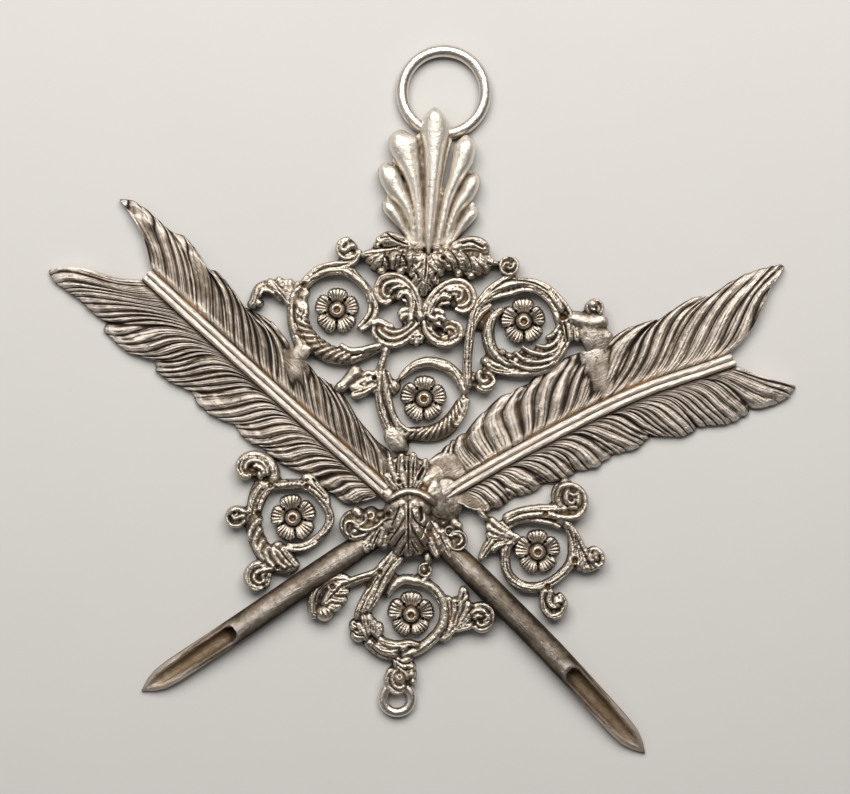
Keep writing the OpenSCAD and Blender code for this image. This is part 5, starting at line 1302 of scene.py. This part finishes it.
spiral(bm, 449.5, 530.5, (4.6, 4.4), 20, 270, (2.8, 2.8), (3.25, 3.25), deep=1.6)
tube(bm, (452, 518, 8), (456, 523, 7), (463, 527, 4), top=3.2)
tube(bm, (397, 551, 9), (399, 558, 8), top=2.0)
tube(bm, (427, 552, 8), (428, 559, 8), (427, 563, 7), top=2.2)
cast("leaf_wrap", bm,
     grooves=((1.9, 0.55, (408.4, 499), (408.4, 515), (408.4, 535), (408.4, 552)),
              (1.5, 0.35, (400, 505), (396, 515), (391.5, 526)), (1.5, 0.4, (407, 514), (398, 528), (389, 541)),
              (1.5, 0.4, (407, 528), (400, 538), (393, 549)), (1.4, 0.35, (407, 541), (403, 547), (400, 554)),
              (1.3, 0.3, (384, 522), (388, 519), (394, 519)), (1.3, 0.3, (386, 535), (391, 532), (396, 533)),
              (1.5, 0.4, (409.5, 520), (416, 534), (425, 548)), (1.5, 0.35, (409.5, 535), (413, 544), (419, 552)),
              (1.4, 0.3, (412, 509), (414, 517), (419, 523), (427, 528)),
              (1.4, 0.3, (428, 520), (424, 530), (430, 542)),
              (1.4, 0.3, (419, 524), (423, 531), (421, 538)),
              (2.6, 0.75, (420.5, 505), (421, 511), (421.5, 517), (420, 521)),
              (2.4, 0.7, (424, 467), (421.5, 472), (419, 477), (418, 481)),
              (1.6, 0.4, (408.5, 460), (408.5, 475), (408.5, 487)),
              (1.5, 0.4, (404, 464), (406, 471)), (1.3, 0.3, (396, 462), (397, 474)),
              (1.3, 0.3, (414, 462), (412, 480)),
              (1.3, 0.25, (381, 528), (376, 538), (372, 548)), (1.3, 0.25, (439, 532), (444, 544), (450, 556)),
              (1.2, 0.15, (340, 525), (345, 537), (357, 541.5), (370, 537)),
              (2.0, 0.10, (440, 478), (446, 486), (440, 494)),
              (2.0, 0.10, (452, 492), (446, 502), (454, 508))),
     eyes=((388.3, 513, 2.8, 0.8), (399, 481.5, 2.4, 0.7), (371, 515, 2.4, 0.3)), voxel=0.1, closing=0.6, drop=0.26,
     melted=((442, 474, 17), (452, 487, 18), (456, 506, 20), (470, 504, 15)))

# Lower left scroll
bm = bmesh.new()
tube(bm, (271, 483, 9), (275, 474, 9), (271.5, 464, 8), (264, 457.5, 8), (254, 455, 8), (244, 458.5, 8),
     (239.5, 466, 7.5), (241.5, 474, 6.5), (247.5, 477, 5.5), (252, 473, 4), top=2.15)
tube(bm, (268, 476, 5), (267, 468, 5), (261, 461.5, 5), (252, 460.5, 5), (246, 465.5, 5), (246.5, 470.5, 3.5),
     top=2.35, deep=1.7)
tube(bm, (264.5, 477, 5), (263, 469.5, 5.5), (257, 465.5, 5), (253, 467, 3), top=2.4, deep=1.7)
tube(bm, (262, 480, 4.5), (260, 474.5, 5), (257, 471.5, 4), top=2.2, deep=1.7)
disc(bm, 256, 467, 12, 8, 1.5, 1.5)
tube(bm, (268, 480, 15), (261, 489, 16), (256.5, 500, 15), (254, 511, 13), (253, 521, 12), (254.5, 533, 14),
     (259, 545, 15), (266, 556, 15), (274, 564, 13), (286, 569, 9), (299, 567, 5), top=1.85)
tube(bm, (271, 488, 5), (265, 494, 5), (261, 502, 5), (259.5, 511, 3.5), top=2.2)
tube(bm, (262, 484, 5), (254, 496, 6), (250.5, 508, 5), (249, 517, 5), top=2.1)
for rows in (((263, 518, 5), (256, 523, 6), (250, 533, 5), (251, 541, 4)),
             ((262, 527, 5), (258, 533, 6), (255, 543, 5), (258, 552, 4)),
             ((266, 538, 5), (261, 545, 6), (260, 553, 5), (265, 562, 4)),
             ((270, 545, 4.5), (266.5, 552, 5.5), (269, 561, 5), (276, 568, 4)),
             ((273, 546, 5), (274, 554, 5.5), (279, 562, 5), (287, 569, 4))):
    tube(bm, *rows, top=2.25, deep=1.3)
tube(bm, (275, 545, 6), (279, 551, 8), (285, 559, 8), (292, 567, 6), top=2.15)
tube(bm, (282, 545, 6), (286, 553, 7), (292, 560, 7), (299, 567.5, 5), top=2.1)
disc(bm, 278, 545, 6, 4.5, 2.2, 1.2)
tube(bm, (268, 487, 7), (279, 485, 8.5), (292, 484, 9), (303, 484.5, 9), (311, 488, 8), (318, 495, 8),
     (324, 503, 7.5), (328.5, 512, 7.5), (329.5, 521, 7.5), (325.5, 530.5, 8), (317, 539, 8), (307, 545, 8),
     (296, 547.5, 8), (286, 545.5, 6), top=1.95)
flutes(bm, ((276, 485.5, 9), (290, 484, 10), (303, 484, 9)), 7, 3.0, lean=1.6, top=2.2, deep=0.9, flip=-1)
tube(bm, (316, 492, 4), (325, 502), (331.5, 514), (331.5, 523), (325, 534, 3.5), top=2.0)
tube(bm, (318, 541, 4), (306, 548), (293, 549.5), (285, 547, 3), top=2.05)
tube(bm, (309, 476, 10), (312, 483, 12), (318, 489, 9), (326, 497, 6), (329, 507, 4), top=2.05)
tube(bm, (302, 479, 6), (309, 477, 7), (316, 482, 6), top=2.0)
spiral(bm, 236.5, 516.8, (9.4, 9.0), 10, 330, (5, 5), (2.1, 2.25), deep=1.5)
disc(bm, 236.5, 516.8, 8.5, 8.5, 1.45, 1.45)
tube(bm, (249, 513, 5.5), (243, 510.5, 5), (237, 508.5, 5), (231, 511, 4), (229.5, 516, 3.5), top=2.35, deep=1.4)
tube(bm, (247, 516, 4.5), (240, 516.5, 4.5), (235, 518.5, 4), (232, 514, 3), top=2.25, deep=1.4)
tube(bm, (252, 512, 8), (247, 516, 8), (246, 523, 6), top=1.95)
tube(bm, (272, 567, 6), (262.5, 564, 7), (253, 566, 7), (247.5, 574, 7), (249, 583, 7), (256, 588.5, 6.5),
     (264, 587, 5), top=2.05)
tube(bm, (275, 568, 5), (264, 569.5, 6), (256, 573, 5), (254.5, 579, 5), (260, 583, 4.5), (266, 579, 3.5), top=2.2,
     deep=1.5)
tube(bm, (268, 571, 5), (263, 575, 5), (265, 580, 4), top=2.1, deep=1.4)
tube(bm, (270, 571, 5), (268, 580, 5), (267, 588, 4), top=1.9)
disc(bm, 258, 577, 9, 10, 1.4, 1.4)
tube(bm, (286, 571, 4), (292, 574, 4), top=1.6)
cast("scroll_lower_left", bm,
     grooves=((1.3, 0.25, (267, 489), (261, 497), (257, 508)),
              (1.2, 0.2, (320, 498), (327, 509), (329, 522), (321, 535)),
              (1.1, 0.16, (330, 512), (331, 520), (327, 530)), (1.2, 0.2, (315, 542), (303, 547), (291, 547)),
              (1.3, 0.22, (279, 548), (286, 557), (293, 565)), (1.2, 0.2, (313, 478), (317, 486), (325, 494)),
              (1.1, 0.15, (250, 490), (247, 500)), (1.2, 0.2, (242, 460), (239, 467), (242, 474))),
     eyes=((271, 485, 2.8), (306.5, 486.5, 2.6), (277.8, 566.4, 2.6), (258.5, 513, 2.8), (234.8, 512.3, 1.8)))

# Lower right scroll
bm = bmesh.new()
tube(bm, (503, 519, 7), (512, 514, 6.5), (525, 510, 6.5), (540, 508, 6.5), (555, 508, 7), (563, 507, 6),
     (566, 511, 5), top=2.15)
tube(bm, (505, 523, 6), (513, 518.5, 6), (525, 515.5, 5.5), (539, 514, 6), (552, 515, 6), (562, 517.5, 5.5),
     (575, 517, 5.5), (583, 511, 5), (585.5, 502, 5), (583, 492.5, 5), (576, 486, 4.5), (566, 484.5, 4.5),
     (559, 489, 4), (557.5, 499, 4), (562, 508, 4), top=2.2)
disc(bm, 571, 499, 10.5, 11.5, 2.2, 2.2)
tube(bm, (569, 489, 5), (566, 495, 5.5), (567, 501.5, 5), (572.5, 503, 4), (575, 498, 3), top=2.65, deep=1.2)
tube(bm, (576, 491, 4), (578.5, 498, 5), (577.5, 506, 4), top=2.55, deep=1.2)
tube(bm, (568, 508.5, 4), (573, 506.5, 4.5), (577, 509, 3), top=2.5, deep=1.0)
tube(bm, (569.5, 492, 3), (572.5, 495.5, 3), (576, 493, 3), top=2.6, deep=1.0)
tube(bm, (562, 484, 9, 1.9), (557, 491, 9), (555.5, 500, 7), (560, 507, 6), top=1.8)
tube(bm, (560, 481, 10, 1.75), (565, 483, 9), (572, 483, 6), top=1.9)
tube(bm, (509, 528, 4), (516, 522.5), (529, 520), (543, 521.5), (555, 525), (561, 529, 4), top=1.9)
tube(bm, (556, 519, 6), (566, 524, 8), (572, 534, 9), (573.5, 547, 9), (572, 559, 9), (567, 568, 8), (559, 576, 7.5),
     (550, 582.5, 8), (540, 587, 9), (528.5, 587.5, 9), (518, 584, 9), (510, 577, 9), (506, 568, 9), (505, 556, 9),
     (506.5, 547, 9), (511, 541.5, 8), (519, 538, 4), top=2.05)
tube(bm, (507, 548, 4), (502.5, 557, 4), (503.5, 569, 4), (508.5, 579.5, 4), (518.5, 588, 4), (529, 590.5, 3),
     top=1.85)
tube(bm, (566, 522, 4.5), (576, 534, 5), (583, 547.5, 5), (588.5, 557, 5), (594, 563.5, 5), (599.5, 566, 4.5),
     (602.5, 560, 4.5), (600.5, 552, 4.5), (594.5, 548.5, 4.5), (588.5, 551, 4), top=2.1)
disc(bm, 594.5, 557, 8, 8, 2.0, 2.0)
tube(bm, (590, 552, 4), (589.5, 558, 5), (594, 562, 4), top=2.4, deep=1.0)
tube(bm, (597, 551.5, 5), (594.5, 556, 5), (598, 560, 4), top=2.5, deep=1.0)
for rows in (((574, 545, 6), (573, 558, 6), (573, 568, 6)), ((577, 545, 5), (579, 559, 6), (579, 571, 6)),
             ((580, 549, 5), (584, 562, 6), (585, 572.5, 6)),
             ((584, 555, 5), (588, 564, 6), (591, 571.5, 6)), ((588, 560, 5), (593, 567, 5), (596, 569.5, 5))):
    tube(bm, *rows, top=2.0)
for rows in (((521, 538, 4), (508, 532.5, 6), (498, 526, 7), (489.5, 517.5, 6)),
             ((519, 539, 4), (505, 535, 6), (494, 530.5, 7), (485, 524, 7)),
             ((513, 538, 5), (501, 537.5, 6), (492, 537, 8), (486, 533, 7)),
             ((516, 541, 5), (504, 543, 6), (496, 546, 8), (490, 552, 7)),
             ((494, 538, 9), (488, 546, 9), (483, 554, 7), (480, 561, 5))):
    tube(bm, *rows, top=2.15)
tube(bm, (499, 522, 5), (504, 526, 5), (510, 531, 4), top=2.0)
tube(bm, (487, 520, 6), (481, 513, 6), (479, 506, 6), top=1.9)
tube(bm, (545, 588, 6), (542.5, 598, 6.5), (544, 609, 6.5), (551, 616, 6.5), (559.5, 614.5, 6.5), (564.5, 607, 6),
     (563, 598, 5), (558, 593.5, 4), top=2.1)
tube(bm, (551, 588, 5), (548.5, 598, 5), (551, 605, 5), (557, 606, 4), top=2.35)
disc(bm, 554, 605, 10, 11, 1.75, 1.75)
tube(bm, (557, 595, 5), (555.5, 601, 5), (559.5, 607.5, 4), top=2.3, deep=1.2)
tube(bm, (564, 600, 5), (558.5, 600.5, 5), (553, 603.5, 4), top=2.4, deep=1.2)
cast("scroll_lower_right", bm,
     grooves=((1.3, 0.25, (506, 521), (520, 513.5), (536, 511), (549, 511.5)),
              (1.2, 0.2, (507, 550), (506, 562), (510, 574), (520, 584)),
              (1.1, 0.14, (504, 554), (504, 566), (509, 577)), (1.2, 0.2, (568, 528), (573, 540), (574, 551)),
              (1.2, 0.2, (576, 536), (581, 548), (588, 560)), (1.2, 0.2, (567, 572), (558, 579), (548, 586)),
              (1.2, 0.2, (494, 543), (488, 551), (483, 559)), (1.1, 0.15, (491, 540), (485, 548), (481, 556)),
              (1.2, 0.18, (553, 512), (562, 513), (566, 511)), (1.4, 0.3, (547, 592), (545, 600), (548, 608))),
     eyes=((545.3, 513.8, 2.8), (574.6, 560, 3.2), (575, 566, 2.0, 0.5), (547.4, 585.6, 3.0)))

# Bottom scroll
bm = bmesh.new()
tube(bm, (388, 598, 3, 1.6), (390.5, 591.5, 5, 1.9), (395, 585, 7, 2.05), (403, 579.5, 8.5), (413, 580, 9),
     (423, 582.5, 8.5), (432, 587.5, 9), (440.5, 597, 9), (445, 609, 9.5), (443.5, 623, 9.5), (437, 634, 9.5),
     (428, 643, 9.5), (418, 649.5, 9.5), (408, 653.5, 9), (400, 656, 8), top=2.05)
tube(bm, (448, 596, 5), (450.5, 608, 5), (449.5, 621, 5), (446, 633, 5), (442, 643, 5), top=1.95)
tube(bm, (450, 630, 9), (453, 618, 10), (455, 606, 10), (455, 597, 7), top=1.75)
for rows in (((446, 640, 5), (453, 625, 6), (455, 609, 6), (454, 598, 5)),
             ((450, 634, 5), (458, 620, 6), (460, 604, 7), (463, 593, 8), (464, 586, 8)),
             ((455, 628, 5), (463, 616, 7), (467, 606, 7), (469.5, 600, 6)),
             ((458, 627, 5), (466, 621, 6), (471, 613, 5)),
             ((459, 604, 5), (465, 597, 7), (469, 594, 7)), ((455, 630, 5), (464, 627, 6), (473, 625, 6))):
    tube(bm, *rows, top=2.05)
disc(bm, 481.5, 618, 13, 12.5, 1.7, 1.7)
tube(bm, (473, 606, 4.5), (482, 604.5, 5), (490, 608, 5), (493, 616, 5), (490.5, 625, 5), (482, 630, 5),
     (473, 626, 4.5), top=2.0)
tube(bm, (470, 615, 4.5), (476, 610, 5), (484, 611, 5), (487, 617, 4), (483, 622, 3), top=2.3, deep=1.3)
tube(bm, (473, 619, 4), (478, 615, 4), (483, 617, 3), top=2.35, deep=1.2)
tube(bm, (489, 613, 4), (488.5, 621, 4.5), (481, 625, 4), (476, 621, 3), top=2.3, deep=1.2)
for rows in (((400, 552, 7), (390, 563, 7), (379, 577, 6), (372, 590, 6), (366, 603, 6), (362, 616, 6)),
             ((397, 549, 6), (385, 562, 6.5), (377, 570.5, 6), (370, 575.5, 5)),
             ((403, 556, 5), (393, 569, 6), (385, 582, 6), (378, 595, 6), (372, 608, 5)),
             ((388, 572, 4), (380, 586, 5), (373.5, 598, 5), (368, 612, 5)),
             ((370, 588, 5), (364, 598, 6), (359, 609, 6), (356, 620, 6))):
    tube(bm, *rows, top=2.1)
tube(bm, (384, 572, 12), (376, 587, 14), (369, 600, 14), (364, 612, 13), top=1.6)
tube(bm, (376, 573, 7), (366, 577, 7.5), (356, 580.5, 8), (345, 585, 8), (337, 588, 7), top=1.85)
tube(bm, (376, 571, 3.6), (366, 574.5, 4), (355, 578, 4), (345, 581.5, 3.8), (337, 583, 3.4), top=2.05)
tube(bm, (350, 579, 5), (340, 577.5, 8), (328, 580, 9), (318, 588, 9), (313, 599, 8), (312, 610, 7.5), (316, 619, 7),
     top=1.95)
tube(bm, (342, 583, 7), (334, 590, 9), (328, 599, 9), (324, 608, 9), top=2.2)
disc(bm, 324.5, 613, 9.5, 9, 2.45, 2.3)
for rows in (((330, 591, 7), (340, 592, 9), (350, 592, 5)), ((327, 598, 7), (338, 600, 9), (348, 600, 5)),
             ((326, 604, 6), (334, 607, 8), (342, 606, 4))):
    tube(bm, *rows, top=2.1)
disc(bm, 359, 635, 9.5, 8.5, 2.05, 1.9)
disc(bm, 354, 626, 5.5, 7, 1.95, 1.7)
for rows in (((367, 640, 6), (362, 630, 7), (357, 622, 6)), ((369, 636, 6), (366, 625, 7), (363, 614, 6)),
             ((371, 634, 5), (371, 624, 6), (369, 613, 6)),
             ((374, 636, 5), (376, 627, 6), (373, 619, 5)), ((376, 638, 5), (380.5, 630, 6), (379, 622, 5))):
    tube(bm, *rows, top=2.15)
tube(bm, (366, 638, 9), (372, 645, 12), (381, 650, 14), (391, 654, 13), (402, 657, 10), top=1.85)
tube(bm, (378, 638, 6), (387, 643, 7), (398, 645, 7), (409, 643, 6), (420, 645, 4), top=2.2)
tube(bm, (374, 644, 6), (382, 649, 8), (391, 651, 9), (399, 650, 8), top=2.35)
disc(bm, 404, 647, 5.5, 5.5, 2.35, 1.4)
disc(bm, 393, 653, 7, 5, 2.2, 1.4, -20)
tube(bm, (396, 656, 9), (399, 663, 10), (398, 671, 10), top=2.0)
for x, y, rx, ry, turn in ((405, 660, 9, 4.5, 15), (403, 666, 9, 4, 10), (411.5, 667, 4.5, 5.5, 10),
                           (412, 674.5, 5, 6, 10), (413, 681, 3.5, 4.5, 5)):
    disc(bm, x, y, rx, ry, 2.15, 1.5, turn)
disc(bm, 399, 679.5, 13, 13, 1.75, 1.75)
tube(bm, (393, 668, 5), (388, 674, 5.5), (386.5, 682, 5.5), (391, 689.5, 5), (398, 692, 5), (405, 689, 4), top=2.05)
tube(bm, (396, 669, 4), (392.5, 676, 4.5), (394, 684, 4.5), (400, 687.5, 4), (406, 684, 3), top=2.3, deep=1.3)
disc(bm, 399.5, 678.5, 6, 6.5, 2.55, 1.3)
tube(bm, (400, 669, 4), (406, 673, 4), (408, 680, 4), top=2.2, deep=1.2)
spiral(bm, 425, 569.5, (6.2, 6.2), 60, 330, (3.6, 3.6), (2.1, 2.1), deep=1.6)
disc(bm, 424, 569, 3.4, 4, 2.35, 1.6)
disc(bm, 425, 570, 6, 6, 1.4, 1.4)
tube(bm, (430, 572, 4), (426, 578, 5), (420, 583, 5), top=2.05)
tube(bm, (427, 562, 5), (432, 560, 5), top=2.0)
cast("scroll_bottom", bm,
     grooves=((1.3, 0.25, (394, 561), (385, 574), (378, 588), (372, 602)),
              (1.2, 0.2, (390, 559), (381, 571), (374, 584), (366, 598)),
              (1.3, 0.22, (447, 600), (449, 613), (447, 627), (443, 637)),
              (1.2, 0.2, (428, 586), (437, 596), (442, 608)),
              (1.1, 0.15, (440, 633), (432, 642), (421, 650)), (1.2, 0.2, (458, 600), (456, 614), (451, 627)),
              (1.2, 0.2, (465, 590), (461, 604)),
              (1.3, 0.25, (466, 603), (461, 614), (456, 622)), (1.3, 0.25, (350, 628), (356, 634), (365, 636)),
              (1.2, 0.25, (352, 622), (358, 626)),
              (1.2, 0.22, (324, 584), (317, 593), (315, 606)), (1.2, 0.22, (333, 594), (326, 603)),
              (1.2, 0.2, (321, 609), (325, 617)), (1.2, 0.2, (326, 608), (330, 615)),
              (1.2, 0.25, (379, 647), (389, 649), (398, 648)),
              (1.3, 0.25, (394, 659), (404, 663), (411, 662)), (1.3, 0.25, (396, 664), (405, 669), (414, 668))),
     eyes=((380, 571.5, 2.8), (332.5, 586, 2.9), (441.8, 642.6, 3.2), (399.8, 675.8, 1.4, 0.4), (457, 603, 1.4, 0.4)))
print("castings made")

# Carried solids take the cast finish
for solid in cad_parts.values():
    solid.data.materials.clear()
    solid.data.materials.append(castSilver)

# Floor, light and camera

stageLooks = {
    "floor": (0.62, 0.61, 0.595), "floorSize": 1.6, "floorDrop": 0.00005, "floorMottle": 0.985, "floorRough": 0.85,
    "floorField": (60, 4), "floorRamp": (0.2, 0.8), "sky": 0.10, "skyColour": (1.0, 0.985, 0.96),
    "lampColour": (1, 0.97, 0.93),
    # each lamp: place, width and depth, and power
    "key": ((0.0, 0.24, 0.33), (0.50, 0.26), 2.6), "fill": ((-0.35, -0.05, 0.30), (0.20, 0.20), 0.12),
    "aim": (425, 397), "cameraHeight": 0.30, "lens": 94.9,
}

bm = bmesh.new()
bmesh.ops.create_grid(bm, x_segments=1, y_segments=1, size=stageLooks["floorSize"] / 2)
floor = addObject("floor", meshFrom(bm, "floor"))
floor.location.z = -stageLooks["floorDrop"]
paper = bpy.data.materials.new("paleFloor")
paper.use_nodes = True
tree = paper.node_tree
ground = tree.nodes["Principled BSDF"]
ground.inputs["Roughness"].default_value = stageLooks["floorRough"]
tone = ramp(tree, noiseField(tree, objectPlace(tree), *stageLooks["floorField"]), *stageLooks["floorRamp"])
darker = tuple(c * stageLooks["floorMottle"] for c in stageLooks["floor"])
feed(tree, blendColours(tree, tone, darker, stageLooks["floor"]), ground.inputs["Base Color"])
floor.data.materials.append(paper)

world = bpy.data.worlds.new("studio")
world.use_nodes = True
sky = world.node_tree.nodes["Background"]
sky.inputs["Color"].default_value = (*stageLooks["skyColour"], 1)
sky.inputs["Strength"].default_value = stageLooks["sky"]
bpy.context.scene.world = world

for name in ("key", "fill"):
    place, size, power = stageLooks[name]
    lamp = bpy.data.lights.new(name + "Lamp", "AREA")
    lamp.shape = "RECTANGLE"
    lamp.size, lamp.size_y = size
    lamp.energy = power
    lamp.color = stageLooks["lampColour"]
    holder = addObject(name + "Lamp", lamp)
    holder.location = place
    holder.rotation_euler = (-Vector(place)).to_track_quat("-Z", "Y").to_euler()

camera = bpy.data.cameras.new("camera")
camera.lens = stageLooks["lens"]
camera.sensor_width = 36
camera.clip_start = 0.01
holder = addObject("camera", camera)
holder.location = (*(plan(*stageLooks["aim"]) / mm), stageLooks["cameraHeight"])
bpy.context.scene.camera = holder
bpy.context.scene.view_settings.view_transform = "Standard"
bpy.context.scene.view_settings.look = "None"
